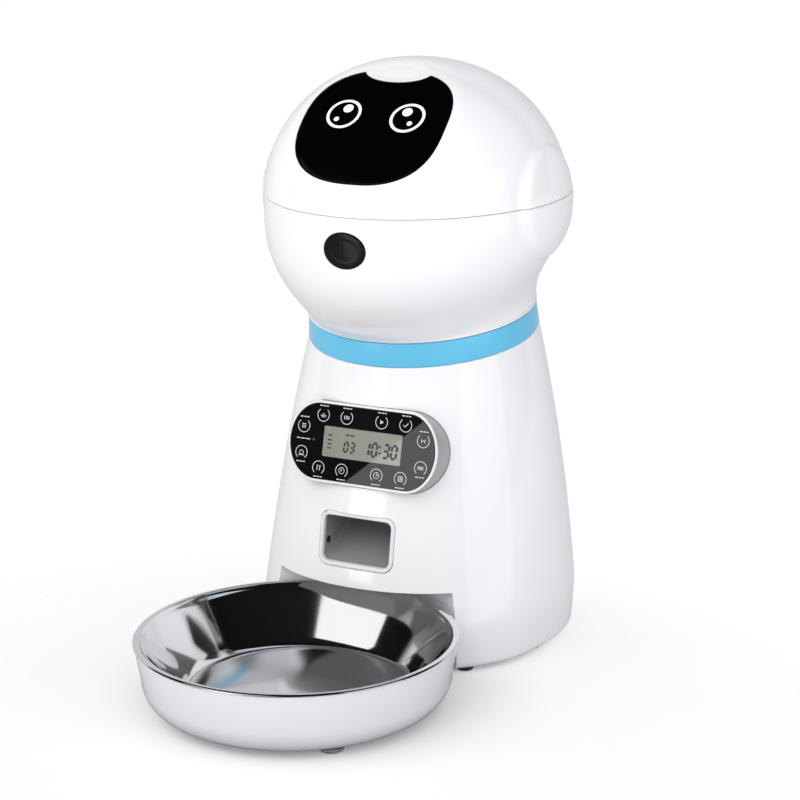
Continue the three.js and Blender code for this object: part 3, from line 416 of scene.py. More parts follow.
def ear_lift(points):
    """How far the round ears raise the head's surface at each point."""
    from_middle = np.hypot(points[..., 1] - EAR_Y, points[..., 2] - EAR_Z)
    beside = ease((np.abs(points[..., 0]) - 40) / 20)
    return EAR_PROUD * beside * (1 - ease((from_middle - EAR_FLAT) / (EAR_FOOT - EAR_FLAT)))


def lower_head_ring(step, inset, down=0.0, ears=True):
    """The lower head: step is 0 at the neck and 1 at the seam."""
    low = round_ring(neck, NECK_TOP_R - inset, NECK_HALF + SEAM_GAP)
    rim = round_ring(seam, HEAD_R - inset, -SEAM_GAP / 2)
    rear = (1 + np.sin(TURNS)) / 2
    spread = (1 - (1 - step ** (WAIST + REAR_WAIST * rear)) ** SWELL)[:, None]
    points = low * (1 - spread) + rim * spread
    points[:, 2] = low[:, 2] * (1 - step) + rim[:, 2] * step - down
    if ears:
        lift = ear_lift(points)
        points += np.stack([lift * np.cos(TURNS), lift * np.sin(TURNS), 0 * lift], -1)
    return points


DOME_CENTRE = np.array([0, HEAD_Y, HEAD_Z])
FACE_DEPTH = 100.0
FACE_ACROSS = 480.0
FACE_ALONG = 150.0
FACE_BLEND = 4.0
SCOOP_DEPTH = 0.8
PAST_SEAM = math.radians(97)  # a fall that takes the dome below its seam
face_centre = face.put(0, 0, -FACE_DEPTH)


def dome_reach(going):
    """How far the dome lies from the head's middle: an egg, blended into the flatter face."""
    flat = np.hypot(going[..., 0], going[..., 1]) / HEAD_R
    tall = np.abs(going[..., 2]) / HEAD_RISE
    egg = (flat**ROUNDNESS + tall**ROUNDNESS) ** (-1 / ROUNDNESS)

    def stretch(v):
        along, out = v @ face.up(), v @ face.out()
        return np.stack([v[..., 0] / FACE_ACROSS, along / FACE_ALONG, out / FACE_DEPTH], -1)

    start = stretch(DOME_CENTRE - face_centre)
    step = stretch(going)
    a, b, c = (step * step).sum(-1), (step * start).sum(-1), (start * start).sum() - 1
    front = (np.sqrt(b * b - a * c) - b) / a
    mix = np.clip(0.5 + (front - egg) / (2 * FACE_BLEND), 0, 1)
    return front * (1 - mix) + egg * mix - FACE_BLEND * mix * (1 - mix)


def dome_points(fall, inset=0.0, dressed=True):
    """Points of the dome at a fall from the pole, in radians; dressed, it has its ears and its scoop."""
    flat = np.sin(fall)
    going = np.stack([flat * np.cos(TURNS), flat * np.sin(TURNS), np.cos(fall) + 0 * TURNS], -1)
    reach = dome_reach(going)
    if dressed:
        points = DOME_CENTRE + going * reach[:, None]
        across, up = points[:, 0], (points - face.put(0, 0, 0)) @ face.up()
        inside = (across / SCOOP[0]) ** 2 + ((up - SCOOP_UP) / SCOOP[1]) ** 2
        scoop = SCOOP_DEPTH * ease(2.2 * (1 - np.sqrt(inside))) * (points[:, 2] > HEAD_Z + 20)
        reach = reach + ear_lift(points) - scoop
    return DOME_CENTRE + going * (reach - inset)[:, None]


def fall_to(height, dressed=True):
    """The fall at which the dome meets the plane that lies this far above the seam."""
    low, high = np.full(AROUND, math.radians(60)), np.full(AROUND, math.radians(110))
    origin, normal = seam.put(0, 0, height), seam.out()
    for _ in range(40):
        middle = (low + high) / 2
        above = (dome_points(middle, dressed=dressed) - origin) @ normal > 0
        low, high = np.where(above, middle, low), np.where(above, high, middle)
    return (low + high) / 2


def dome_rings(inset, lowest, dressed=True, count=110):
    """Rings from the lowest fall up to the pole."""
    return [dome_points(lowest * (1 - step), inset, dressed) for step in np.linspace(0, 1, count)]


def settled(outline, place, tree, depth):
    """Outline points dropped along the place's out direction onto a surface, then sunk by a depth."""
    outline = np.asarray(outline, float)
    if tree is None:
        return place.put(outline[:, 0], outline[:, 1], -np.asarray(depth, float) + 0 * outline[:, 0])
    inward = Vector(-place.out())
    starts = place.put(outline[:, 0], outline[:, 1], 300)
    hits = np.array([tree.ray_cast(Vector(point), inward)[0] for point in starts])
    return hits + np.array(inward) * np.reshape(depth, (-1, 1))


def surface_tree(thing):
    """A search tree over a drawn surface, which is used up."""
    body = bmesh.new()
    body.from_mesh(thing.data)
    tree = BVHTree.FromBMesh(body)
    body.free()
    discard(thing)
    return tree


casing_tree = surface_tree(skin(casing_rings(0, False)))
head_tree = surface_tree(skin([lower_head_ring(step, 0, ears=False) for step in np.linspace(0, 1, 60)]))
dome_tree = surface_tree(skin(dome_rings(0, PAST_SEAM, dressed=False)))

PANEL_Z = 137.5
PANEL_LEAN = 14.2
front_hit = casing_tree.ray_cast(Vector((0, -300, PANEL_Z)), Vector((0, 1, 0)))[0]
panel = ground.at(0, front_hit.y - 0.9, PANEL_Z, tilt=90 - PANEL_LEAN)
panel_top = panel.at(0, 0, -FACE_RECESS)
glass_top = panel.at(0, DISPLAY_UP, -0.7)


def inlay(outline, middle, place, tree, top, bottom, rows, soften=0.0, dish=None):
    """A plate whose outline can be seen whole from its middle, bent to a surface, with its edge softened."""
    spokes = np.asarray(outline) - np.asarray(middle)
    length = np.hypot(*spokes.T)[:, None]
    shares = np.linspace(0, 1, rows)
    rings = [(share * (1 - soften / length), top + (dish(share) if dish else 0)) for share in shares]
    if soften:
        rings += [(1 - inside / length, top + down) for inside, down in corner(soften)[::-1]][1:]
    rings += [(np.ones_like(length), bottom), (0.5 * np.ones_like(length), bottom)]
    return skin([settled(middle + spokes * share, place, tree, depth) for share, depth in rings])


def dot(radius, count, middle, place, tree, rows):
    """A small printed disc."""
    return inlay(circle(radius, count, middle), middle, place, tree, -PRINT, SUNK, rows)


def ribbon(points, width, place, tree=None, closed=False):
    """A printed stroke of even width along a line of points."""
    points = np.asarray(points, float)
    along = np.roll(points, -1, 0) - np.roll(points, 1, 0)
    if not closed:
        along[0], along[-1] = points[1] - points[0], points[-1] - points[-2]
    along /= np.hypot(*along.T)[:, None]
    side = np.stack([-along[:, 1], along[:, 0]], -1) * width / 2
    left, right = points - side, points + side
    edges = [(right, -PRINT), (left, -PRINT), (left, SUNK), (right, SUNK)]
    sheets = [settled(edge, place, tree, depth) for edge, depth in edges]
    return skin(list(np.stack(sheets, 1)), looped=closed)


# -------- materials
class Value:
    """A socket that works out sums: each operator adds a Math node."""

    def __init__(self, graph, socket):
        self.graph = graph
        self.socket = socket

    def sum(self, operation, first, second):
        return self.graph.node("Math", {"operation": operation}, **{"0": first, "1": second})

    def __add__(self, other):
        return self.sum("ADD", self, other)

    def __sub__(self, other):
        return self.sum("SUBTRACT", self, other)

    def __rsub__(self, other):
        return self.sum("SUBTRACT", other, self)

    def __mul__(self, other):
        return self.sum("MULTIPLY", self, other)

    __radd__ = __add__
    __rmul__ = __mul__


class Graph:
    """A node tree, with one way to add any node."""

    def __init__(self, owner):
        owner.use_nodes = True
        self.tree = owner.node_tree

    def join(self, socket, value):
        if isinstance(value, Value):
            self.tree.links.new(value.socket, socket)
        else:
            socket.default_value = value

    def node(self, kind, settings=None, output=0, **inputs):
        made = self.tree.nodes.new("ShaderNode" + kind)
        for name, value in (settings or {}).items():
            setattr(made, name, value)
        for name, value in inputs.items():
            key = int(name) if name.isdigit() else name.replace("_", " ")
            self.join(made.inputs[key], value)
        return Value(self, made.outputs[output])

    def dot(self, first, second):
        inputs = {"0": first, "1": second}
        return self.node("VectorMath", {"operation": "DOT_PRODUCT"}, output="Value", **inputs)

    def length(self, vector):
        return self.node("VectorMath", {"operation": "LENGTH"}, output="Value", **{"0": vector})

    def ramp(self, value, *stops):
        """A smooth ramp through (place, colour) stops."""
        made = self.tree.nodes.new("ShaderNodeValToRGB")
        made.color_ramp.interpolation = "EASE"
        while len(made.color_ramp.elements) < len(stops):
            made.color_ramp.elements.new(0.5)
        for element, (where, color) in zip(made.color_ramp.elements, stops):
            element.position = where
            element.color = (*color, 1)
        self.join(made.inputs["Fac"], value)
        return Value(self, made.outputs["Color"])

    def mixed(self, share, first, second):
        """The first colour at a share of 0, the second at 1."""
        made = self.tree.nodes.new("ShaderNodeMix")
        made.data_type = "RGBA"
        for socket, value in ((0, share), (6, first), (7, second)):
            self.join(made.inputs[socket], (*value, 1) if isinstance(value, tuple) else value)
        return Value(self, made.outputs[2])


class Finish(Graph):
    """A material: a Principled surface and the nodes that vary it."""

    def __init__(self, name, color, roughness, **constants):
        self.material = bpy.data.materials.new(name)
        super().__init__(self.material)
        self.surface = self.tree.nodes["Principled BSDF"]
        self.set("Base Color", (*color, 1))
        self.set("Roughness", roughness)
        for socket, value in constants.items():
            self.set(socket.replace("_", " "), value)
        self.place = self.node("TexCoord", output="Object")

    def set(self, socket, value):
        self.join(self.surface.inputs[socket], value)

    def noise(self, size, detail=2.0, stretch=(1, 1, 1)):
        """Soft noise whose lumps are about size millimetres across."""
        spread = self.node("Mapping", Vector=self.place, Scale=tuple(1000 / size / s for s in stretch))
        return self.node("TexNoise", Vector=spread, Scale=1.0, Detail=detail)

    def bump(self, height, depth):
        """A bump whose height of 1 stands depth millimetres."""
        self.set("Normal", self.node("Bump", Strength=1.0, Distance=depth / 1000, Height=height))


def moulded(name, color, roughness, texture=0.02, tint=0.03, **constants):
    """Moulded plastic: faint cloudiness in its colour and gloss, and a very fine skin."""
    finish = Finish(name, color, roughness, **constants)
    cloud = finish.noise(45)
    darker = tuple(c * (1 - tint) for c in color)
    finish.set("Base Color", finish.ramp(cloud, (0.35, darker), (0.65, color)))
    finish.set("Roughness", cloud * (0.3 * roughness) + 0.85 * roughness)
    if texture:
        finish.bump(finish.noise(0.9, 3), texture)
    return finish


def zinc_steel():
    """Zinc-plated steel with fine streaks from drawing."""
    finish = Finish("zinc steel", (0.62, 0.63, 0.65), 0.35, Metallic=1.0)
    streaks = finish.noise(1.6, 4, (1, 1, 12))
    finish.set("Roughness", streaks * 0.15 + 0.275)
    finish.bump(streaks, 0.004)
    return finish


def bowl_steel():
    """Pressed and polished stainless steel with turning marks round its floor."""
    finish = Finish("bowl steel", (0.80, 0.80, 0.81), 0.1, Metallic=1.0)
    middle = (0, -(TRAY_Y + SHIFT) / 1000, 0)
    centred = finish.node("Mapping", Vector=finish.place, Location=middle, Scale=(1, 1, 0))
    far = finish.length(centred)
    rings = finish.node("TexNoise", {"noise_dimensions": "1D"}, W=far * 1400.0, Scale=1.0, Detail=3.0)
    floor = 1 - finish.node("MapRange", Value=far, From_Min=0.064, From_Max=0.067)
    cloud = finish.noise(30)
    finish.set("Roughness", 0.05 + cloud * 0.05 + floor * 0.04)
    finish.bump(rings * (floor * 0.75 + 0.25), 0.008)
    return finish


def circuit_green():
    """Solder mask with darker tracks."""
    mask = (0.05, 0.26, 0.12)
    finish = Finish("circuit green", mask, 0.35)
    spread = finish.node("Mapping", Vector=finish.place, Scale=(350, 350, 350))
    tracks = finish.node("TexBrick", {"offset": 0.3}, output="Fac", Vector=spread, Mortar_Size=0.04)
    finish.set("Base Color", finish.ramp(tracks, (0.0, mask), (1.0, (0.03, 0.17, 0.08))))
    return finish


def silver_trim():
    """Silver paint, with a painted highlight along the rounded front edge of the panel's frame and painted
    shade behind it.
    """
    finish = Finish("silver trim", (0.45, 0.45, 0.46), 0.3, Metallic=0.35)
    out = panel.out()
    front = float(panel.put(0, 0, 0) @ out + SHIFT * out[1]) / 1000
    ahead = finish.dot(finish.place, tuple(out))
    # Painted highlight and shade: colour set by depth, pale at the frame's front edge and darker further
    # back.
    edge = finish.node("MapRange", Value=ahead, From_Min=front - 0.0011, From_Max=front - 0.0005)
    grain = finish.noise(1.2, 3) * 0.08 - 0.04
    finish.set("Base Color", finish.mixed(edge + grain, (0.4, 0.4, 0.41), (0.86, 0.86, 0.86)))
    finish.bump(finish.noise(0.9, 3), 0.006)
    return finish


finishes = {
    "white_gloss": moulded(
        "gloss white", (0.84, 0.84, 0.86), 0.09, texture=0.0015, tint=0.008,
        Coat_Weight=0.35, Coat_Roughness=0.03,
    ),
    "inner_white": moulded("inner white", (0.74, 0.74, 0.75), 0.32),
    "cell_jacket": moulded("cell jacket", (0.05, 0.12, 0.28), 0.3, texture=0.004, Metallic=0.4),
    "zinc_steel": zinc_steel(),
    "rubber": moulded("black rubber", (0.02, 0.02, 0.02), 0.7, texture=0.05),
    "smoke_plastic": moulded("smoke plastic", (0.035, 0.036, 0.04), 0.4),
    "circuit_board": circuit_green(),
    "silicone": moulded(
        "silicone", (0.72, 0.72, 0.73), 0.5, texture=0.01,
        Subsurface_Weight=0.2, Subsurface_Radius=(0.004, 0.004, 0.004),
    ),
    "acetal": moulded("acetal", (0.76, 0.74, 0.68), 0.35),
    "grey_plastic": moulded("grey plastic", (0.25, 0.252, 0.255), 0.35),
    "panel_black": moulded("panel black", (0.006, 0.006, 0.007), 0.012, texture=0, tint=0.2),
    "silver_trim": silver_trim(),
    "lcd_glass": moulded(
        "display glass", (0.26, 0.265, 0.22), 0.16, texture=0, tint=0.06,
        Coat_Weight=1.0, Coat_Roughness=0.012,
    ),
    "red_lamp": moulded("red lamp", (0.16, 0.02, 0.018), 0.15, texture=0),
    "sky_blue": moulded("sky blue", (0.12, 0.52, 0.78), 0.22, texture=0.003, tint=0.04),
    "visor_black": moulded(
        "visor black", (0.001, 0.001, 0.0012), 0.12, texture=0, tint=0.2, Specular_IOR_Level=0.08,
    ),
    "bowl_steel": bowl_steel(),
    "clear_rubber": moulded("clear rubber", (0.8, 0.82, 0.83), 0.2, texture=0.01, Transmission_Weight=0.7),
}
eye_white = moulded("printed white", (0.9, 0.9, 0.9), 0.3, texture=0.002)
mark_grey = moulded("printed grey", (0.62, 0.63, 0.64), 0.35, texture=0.002)
digit_black = moulded("display black", (0.02, 0.024, 0.022), 0.25, texture=0)
button_black = moulded(
    "button black", (0.003, 0.003, 0.0035), 0.16, texture=0.002, tint=0.2, Specular_IOR_Level=0.16,
)


# -------- finished pieces
def piece(name, thing, body, slot, nodes=(), finish=None, smooth=32):
    """Sets a drawn body over the solid model, with its finish, its slot and what it moves with."""
    mesh = thing.data
    thing.name = mesh.name = name
    mesh.transform(Matrix.Scale(0.001, 4) @ Matrix.Translation((0, SHIFT, 0)))
    mesh.shade_smooth()
    mesh.set_sharp_from_angle(angle=math.radians(smooth))
    mesh.materials.clear()
    mesh.materials.append((finish or finishes[slot]).material)
    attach(thing, body)
    if nodes:
        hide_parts(*nodes)
    return thing


def middle_of(node):
    """The middle of a solid, in the drawing's millimetres."""
    low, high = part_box(node)
    return (low + high) / 2 * 1000 - Vector((0, SHIFT, 0))


def bar(radius, low, high):
    """The profile of a plain round bar."""
    return [(0, low), (radius, low), (radius, high), (0, high)]


def tube(inner, outer, low, high):
    """The profile of a plain ring or tube."""
    return [(inner, low), (outer, low), (outer, high), (inner, high)]


def make_casing():
    def recess(grow, soften):
        return turned(bar(RECESS_R + grow, -10, RECESS_ROOF + grow), tray, 160, soften)

    shell = skin(casing_rings(0, True))
    hollow = cut(skin(casing_rings(WALL, False)), recess(WALL, 1.5))
    cut(shell, hollow, recess(0.01, 1.5))
    window = rounded_rectangle(OUTLET_HALF[0] + FIT, OUTLET_HALF[1] + FIT, OUTLET_CORNER)
    lug_half = LUG_HALF + RUN
    cut(
        shell,
        slab(panel_outline(-FIT), -21.4, 60, panel),
        slab(window, 60, REACH, outlet),
        brick(-lug_half, lug_half, -56, -48, LUG_LOW - RUN, LUG_HIGH + RUN, soften=0.5),
        turned(bar(INLET_R + FIT, 0, 60), ground.at(0, 86, INLET_Z, tilt=-90), 48),
    )
    piece("casing_shell", shell, "base", "white_gloss", ["casing"])


def make_neck():
    bore = SPIGOT_R + FIT
    profile = [(bore, -NECK_HALF), (NECK_LOW_R, -NECK_HALF), (NECK_TOP_R, NECK_HALF), (bore, NECK_HALF)]
    piece("blue_neck_band", turned(profile, neck, AROUND, soften=0.5), "base", "sky_blue", ["neck_ring"])


HINGE_Y = HEAD_R + 4.2
BARREL_R = 3.6
PIN_R = 1.5
LID_KNUCKLE = 12.0  # half as wide as the lid's barrel
PIN_HALF = 24.0
pivot = seam.at(0, HINGE_Y, 0, swing=90)


def knuckle(start, end, low, high):
    """A hinge barrel from start to end across, with the web that ties it to its shell."""
    barrel = turned(tube(PIN_R + 0.08, BARREL_R, start, end), pivot, 48, soften=0.4)
    web = brick(start, end, HEAD_R - 1.8, HINGE_Y - 1.2, low, high, seam, soften=0.3)
    return [barrel, web]


def make_lower_head():
    shoulder = [lower_head_ring(0, inside, -down) for inside, down in corner(0.6)[::-1]]
    wall = [lower_head_ring(step, 0) for step in np.linspace(0.004, 0.994, 90)]
    rim = [lower_head_ring(1, inside, down) for inside, down in corner(SEAM_ROUND, 6)]
    inner = [lower_head_ring(step, WALL) for step in np.linspace(1, 0, 40)]
    last = lower_head_ring(0, WALL, 0.3)
    shell = skin([*shoulder, *wall, *rim, *inner, last], looped=True)
    cut(shell, slab(mouth_outline(FIT), 60, REACH, mouth))
    bore, collar_r = SPIGOT_R - WALL, 72.6
    bottom, under, top = -NECK_HALF - SPIGOT_DEPTH, NECK_HALF + 0.6, NECK_HALF + 2.2
    spigot = [(bore, bottom), (SPIGOT_R, bottom), (SPIGOT_R, under)]
    spigot += [(collar_r, under), (collar_r, top), (bore, top)]
    ledge = tube(HEAD_INSIDE - 3, HEAD_INSIDE + 0.6, -6.6, -4.2)
    near, far = LID_KNUCKLE + FIT, PIN_HALF - FIT
    head = joined(
        shell, turned(spigot, neck, 128, soften=0.3), turned(ledge, seam, 128, soften=0.2),
        *knuckle(near, far, -BARREL_R, -0.2), *knuckle(-far, -near, -BARREL_R, -0.2),
    )
    piece("lower_head_shell", head, "base", "white_gloss", ["lower_head"])
    pin = turned(bar(PIN_R, -PIN_HALF, PIN_HALF), pivot, 32, soften=0.4)
    piece("hinge_rod", pin, "base", "zinc_steel", ["hinge_pin"])


def make_lid():
    gap = SEAM_GAP / 2
    rim = [dome_points(fall_to(gap + down), inside) for inside, down in corner(SEAM_ROUND, 6)][::-1]
    outside = dome_rings(0, fall_to(gap + SEAM_ROUND + 0.1))
    lowest = fall_to(gap + 0.01, dressed=False)
    inside = dome_rings(LID_WALL, lowest, dressed=False, count=60)[::-1]
    shell = skin([*inside, *rim, *outside])
    seat = slab(visor_outline(0), -40, 60, face)
    cut(seat, skin(dome_rings(1.7, PAST_SEAM, dressed=False, count=60)))
    cut(shell, seat)
    lip_r = HEAD_INSIDE - 6.8
    lip_in = lip_r - 2.4
    front = -HEAD_INSIDE
    lid = joined(
        shell,
        turned(tube(lip_in, HEAD_INSIDE, 2.6, 5), seam, 128, soften=0.3),
        turned(tube(lip_in, lip_r, 1, 4.8), seam, 128, soften=0.4),
        turned(tube(9.6, 12, DRYER_HIGH + FIT, 24), ground.at(0, CROWN_Y, CROWN_Z), 48, soften=0.3),
        brick(-4, 4, front + 0.8, front + 2.4, -6.4, 4, seam, soften=0.3),
        brick(-4, 4, front + 1.9, front + 2.9, -6.4, -5.4, seam, soften=0.2),
        *knuckle(-LID_KNUCKLE, LID_KNUCKLE, gap, BARREL_R),
    )
    piece("lid_shell", lid, "lid", "white_gloss", ["lid"])
    gasket = [(82.4, -1.6), (86, -1.6), (86.6, -0.4), (86.6, 0.7), (83.0, 0.7)]
    piece("gasket_ring", turned(gasket, seam, 128, soften=0.4), "lid", "silicone", ["lid_gasket"])
    plate = inlay(visor_outline(-FIT, 240), (0, -10), face, dome_tree, 0.0, 1.4, rows=36, soften=0.45)
    piece("visor_plate", plate, "lid", "visor_black", ["visor"])


# Each eye: its middle, and from there its glint and its spark.
EYES = (
    ((-21.5, 1.2), (1.4, 4.3), (-3.5, -4.4)),
    ((21.5, 1.2), (-1.6, 4.4), (2.9, -4.2)),
)


def make_eyes():
    marks = []
    for middle, glint, spark in EYES:
        marks.append(ribbon(circle(10.35, 96, middle), 1.9, face, dome_tree, closed=True))
        for shift, radius in ((glint, 3.3), (spark, 1.7)):
            marks.append(dot(radius, 40, np.add(middle, shift), face, dome_tree, 4))
    piece("eye_marks", joined(*marks), "lid", "white_gloss", finish=eye_white)


BUTTON_BACK = 84.8  # the flange's inner face, ahead of the head's axis
FLANGE = 1.6


def make_mouth():
    def dish(share):
        return 0.12 * (1 - ease((share - 0.6) / 0.15))

    cap = inlay(mouth_outline(0), (0, 0), mouth, head_tree, -0.6, 3.5, rows=24, soften=0.7, dish=dish)
    flange = slab(mouth_outline(1.5), BUTTON_BACK, BUTTON_BACK + FLANGE, mouth, soften=0.3)
    catch = brick(-4, 4, 0, 278 - MOUTH_Z, BUTTON_BACK, BUTTON_BACK + FLANGE, mouth, soften=0.3)
    button = joined(cap, flange, catch)
    piece("mouth_button", button, "latch", "visor_black", ["latch_button"], finish=button_black)


def make_spring():
    wire_r, coil_r, length = 0.35, 3.2, 2.7
    wire = TURNS[::24]
    rings = []
    for turn in np.linspace(0, 6 * np.pi, 120):
        along = 0.65 + length * turn / (6 * np.pi)
        reach = coil_r + wire_r * np.cos(wire)
        height = BUTTON_BACK - along + wire_r * np.sin(wire)
        rings.append(mouth.put(reach * np.cos(turn), reach * np.sin(turn), height))
    spring = piece("spring_coil", skin(rings), "base", "zinc_steel", ["latch_spring"])
    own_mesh(spring)


BEZEL_DEPTH = 19.0


def make_panel():
    inner_edge = [(BEZEL_RIM - inside, down) for inside, down in corner(0.5, 4)[::-1]]
    profile = [(0, BEZEL_DEPTH), *corner(0.6), *inner_edge, (BEZEL_RIM, BEZEL_DEPTH)]
    rings = [settled(panel_outline(inset), panel, None, depth) for inset, depth in profile]
    piece("panel_frame", skin(rings, looped=True), "base", "silver_trim", ["panel_bezel"])
    plate = slab(panel_outline(BEZEL_RIM + 0.1), -2.3, -FACE_RECESS, panel, soften=0.25)
    cut(plate, slab(rounded_rectangle(27.3, 9.6, 0.8, 4) + (0, DISPLAY_UP), -9, 9, panel))
    piece("panel_plate", plate, "base", "panel_black", ["panel_face"], smooth=10)
    glass = slab(rounded_rectangle(27.2, 9.5, 0.8, 4) + (0, DISPLAY_UP), -3.6, -0.7, panel, soften=0.15)
    piece("display_glass", glass, "base", "lcd_glass", ["display_module"], smooth=10)
    lamp_body = turned(bar(0.9, -3, -0.1), panel.at(-33.8, 0.6), 24, soften=0.35)
    piece("status_lamp", lamp_body, "base", "red_lamp", ["status_led"])


# The bars of a figure, from and to (across, up) on a grid one wide and two high.
SEGMENTS = {"a": ((0, 2), (1, 2)), "b": ((1, 1), (1, 2)), "c": ((1, 0), (1, 1)), "d": ((0, 0), (1, 0)),
            "e": ((0, 0), (0, 1)), "f": ((0, 1), (0, 2)), "g": ((0, 1), (1, 1))}
DIGITS = {"0": "abcdef", "1": "bc", "3": "abcdg"}


def digit(figure, x, y, width, height, stroke):
    """A figure of lit bars, leaning a little."""
    bars = []
    lean = 0.05 * height
    for segment in DIGITS[figure]:
        (x0, y0), (x1, y1) = SEGMENTS[segment]
        start = np.array((x + x0 * width + y0 * lean, y + y0 * height / 2))
        end = np.array((x + x1 * width + y1 * lean, y + y1 * height / 2))
        gap = (end - start) / np.hypot(*(end - start)) * stroke * 0.35
        bars.append(ribbon([start + gap, end - gap], stroke, glass_top))
    return bars


def make_display_marks():
    marks = []
    x = 1.2
    for figure in "10:30":
        if figure == ":":
            marks += [dot(0.75, 16, (x + 0.5, y), glass_top, None, 3) for y in (-3.2, 0.6)]
            x += 2.7
        else:
            marks += digit(figure, x, -5.6, 3.4, 8.0, 1.45)
            x += 5.4
    for figure, x in (("0", -12.5), ("3", -8.2)):
        marks += digit(figure, x, -5.2, 2.6, 6.0, 1.15)
    dashes = [(-24, -4), (-24, 1), (-24, -1.5), (-24, 4), (-12, 5.2), (-8.6, 5.2)]
    for left, up in dashes:
        marks.append(ribbon([(left, up), (left + 2.8, up)], 0.85, glass_top))
    piece("display_marks", joined(*marks), "base", "lcd_glass", finish=digit_black)


# Each key: its place, and whether its label stands above it or below.
KEYS = [
    (-28.5, 16.4, 1), (-12.2, 16.4, 1), (12.0, 16.4, 1), (28.5, 16.4, 1),
    (41.4, 8.3, 1), (41.4, -8.3, -1), (-41.4, 8.3, 1), (-41.4, -8.3, -1),
    (-28.5, -16.4, -1), (-12.2, -16.4, -1), (12.0, -16.4, -1), (28.5, -16.4, -1),
]
KEY_R = 4.05


def key_symbol(number, x, y):
    """Plain symbols: lines, a triangle, a tick, bars, a clock and a grid."""
    def line(*points, width=0.42):
        return ribbon([(x + a, y + b) for a, b in points], width, panel_top)

    def upright(half, *places):
        return [line((a, -half), (a, half)) for a in places]

    def level(half, *places):
        return [line((-half, b), (half, b)) for b in places]

    def ring(radius, start=0, end=360):
        return ribbon(arc((x, y), radius, start, end, 28), 0.35, panel_top)

    triangle = np.array([(-0.9, -1.3), (1.4, 0), (-0.9, 1.3)]) + (x, y)
    symbols = [
        lambda: [ring(1.5, 200, 340), line((-1.8, -0.5), (1.8, -0.5)), ring(0.7, 20, 160)],
        lambda: upright(1.1, -1.5, -0.5, 0.5, 1.5),
        lambda: [slab(triangle, -SUNK, PRINT, panel_top)],
        lambda: [line((-1.6, 0.1), (-0.5, -1.1), (1.7, 1.3), width=0.5)],
        lambda: [*upright(1.2, -1.1, 1.1), *level(1.1, 0)],
        lambda: upright(1.1, -1.7, -0.85, 0, 0.85, 1.7),
        lambda: level(1.4, -1.1, 0, 1.1),
        lambda: [ring(1.3), *level(2.1, -1.7)],
        lambda: [
            *upright(1.6, -0.9), line((0.9, -1.6), (0.9, 0.4)), line((0.2, 1.5), (0.9, 0.4), (1.6, 1.5)),
        ],
        lambda: [ring(1.9), line((0, 0), (0, 1.2)), line((0, 0), (-0.9, -0.4))],
        lambda: [ring(1.9), line((0, 0), (0, 1.3)), line((0, 0), (1.0, 0))],
        lambda: [*level(1.7, -1.5, 0, 1.5), *upright(1.5, -1.5, 0, 1.5)],
    ]
    return symbols[number]()


def make_key_marks():
    def label_bars(spans, height, width):
        return [ribbon([(left, height), (right, height)], width, panel_top) for left, right in spans]

    marks = []
    for number, (x, y, side) in enumerate(KEYS):
        start = 90 * side + 38
        marks.append(ribbon(arc((x, y), KEY_R, start, start + 284, 48), 0.42, panel_top))
        marks += key_symbol(number, x, y)
        words = [(x + left, x + right) for left, right in ((-3.0, -0.9), (-0.4, 1.2), (1.7, 3.0))]
        marks += label_bars(words, y + side * 5.6, 0.6)
    marks += label_bars([(-45.5, -43.4), (-42.9, -40.2), (-39.7, -36.2)], 0.4, 0.55)
    piece("key_marks", joined(*marks), "base", "panel_black", finish=mark_grey)


def make_outlet():
    half_x, half_z = OUTLET_HALF
    outer = [(0, OUTLET_DEPTH), *corner(0.5)]
    inner = [(OUTLET_RIM - inside, down) for inside, down in corner(0.7)[::-1]]
    across = [(inset, depth - OUTLET_PROUD) for inset, depth in [*outer, *inner]]
    across += [(OUTLET_RIM, OUTLET_DEPTH), (OUTLET_RIM - 1.2, OUTLET_DEPTH)]

    def frame_outline(inset):
        return rounded_rectangle(half_x - inset, half_z - inset, OUTLET_CORNER - inset)

    rings = [settled(frame_outline(inset), outlet, casing_tree, depth) for inset, depth in across]
    rim = skin(rings, looped=True)
    for side in (-half_x, half_x):
        cut(rim, brick(side - 1.4, side + 1.4, -0.09, 0.09, 60, 110, outlet))
    piece("outlet_frame", rim, "base", "inner_white", ["outlet_rim"])


CHUTE_HALF = 23.3
CHUTE_WALL = 1.6
FALL_FRONT = -38.0
FALL_REAR = -14.0
# Down from the outlet: a roof point and a floor point, each (back, up).
CHUTE_ENDS = [
    ((-70, 94.4), (-70, 69.7)),
    ((-56, 96.6), (-52, 78.4)),
    ((FALL_FRONT, 99), (FALL_REAR, 96.4)),
    ((FALL_FRONT, 103.7), (FALL_REAR, 103.7)),
]


def chute_section(grow, front, rear):
    """A ring across the chute between a roof point and a floor point."""
    front, rear = np.array(front, float), np.array(rear, float)
    span = rear - front
    length = np.hypot(*span)
    shape = rounded_rectangle(CHUTE_HALF + grow, length / 2 + grow, 3.5 + grow, 8)
    spot = front + span * (0.5 - shape[:, 1] / length)[:, None]
    return ground.put(shape[:, 0], spot[:, 0], spot[:, 1])


def make_chute():
    def duct(grow):
        outline = rounded_rectangle(CHUTE_HALF + grow, 14.5 + grow, 4.1 + grow, 8)
        first = settled(outline, outlet, casing_tree, OUTLET_DEPTH + FIT)
        return [first, *[chute_section(grow, front, rear) for front, rear in CHUTE_ENDS]]

    walls = skin([*duct(0), *duct(CHUTE_WALL)[::-1]], looped=True)
    piece("chute_duct", walls, "base", "grey_plastic", ["chute"])
    eye = [(0, -3), (2.6, -3), (2.6, -0.3), (1.9, 0.5), (0, 0.8)]
    for name, side in (("infrared_sensor", -1), ("infrared_emitter", 1)):
        middle = middle_of(name)
        spot = ground.at(side * CHUTE_HALF, middle.y, middle.z, swing=-90 * side)
        piece(name.replace("infrared", "eye"), turned(eye, spot, 32), "base", "panel_black", [name])


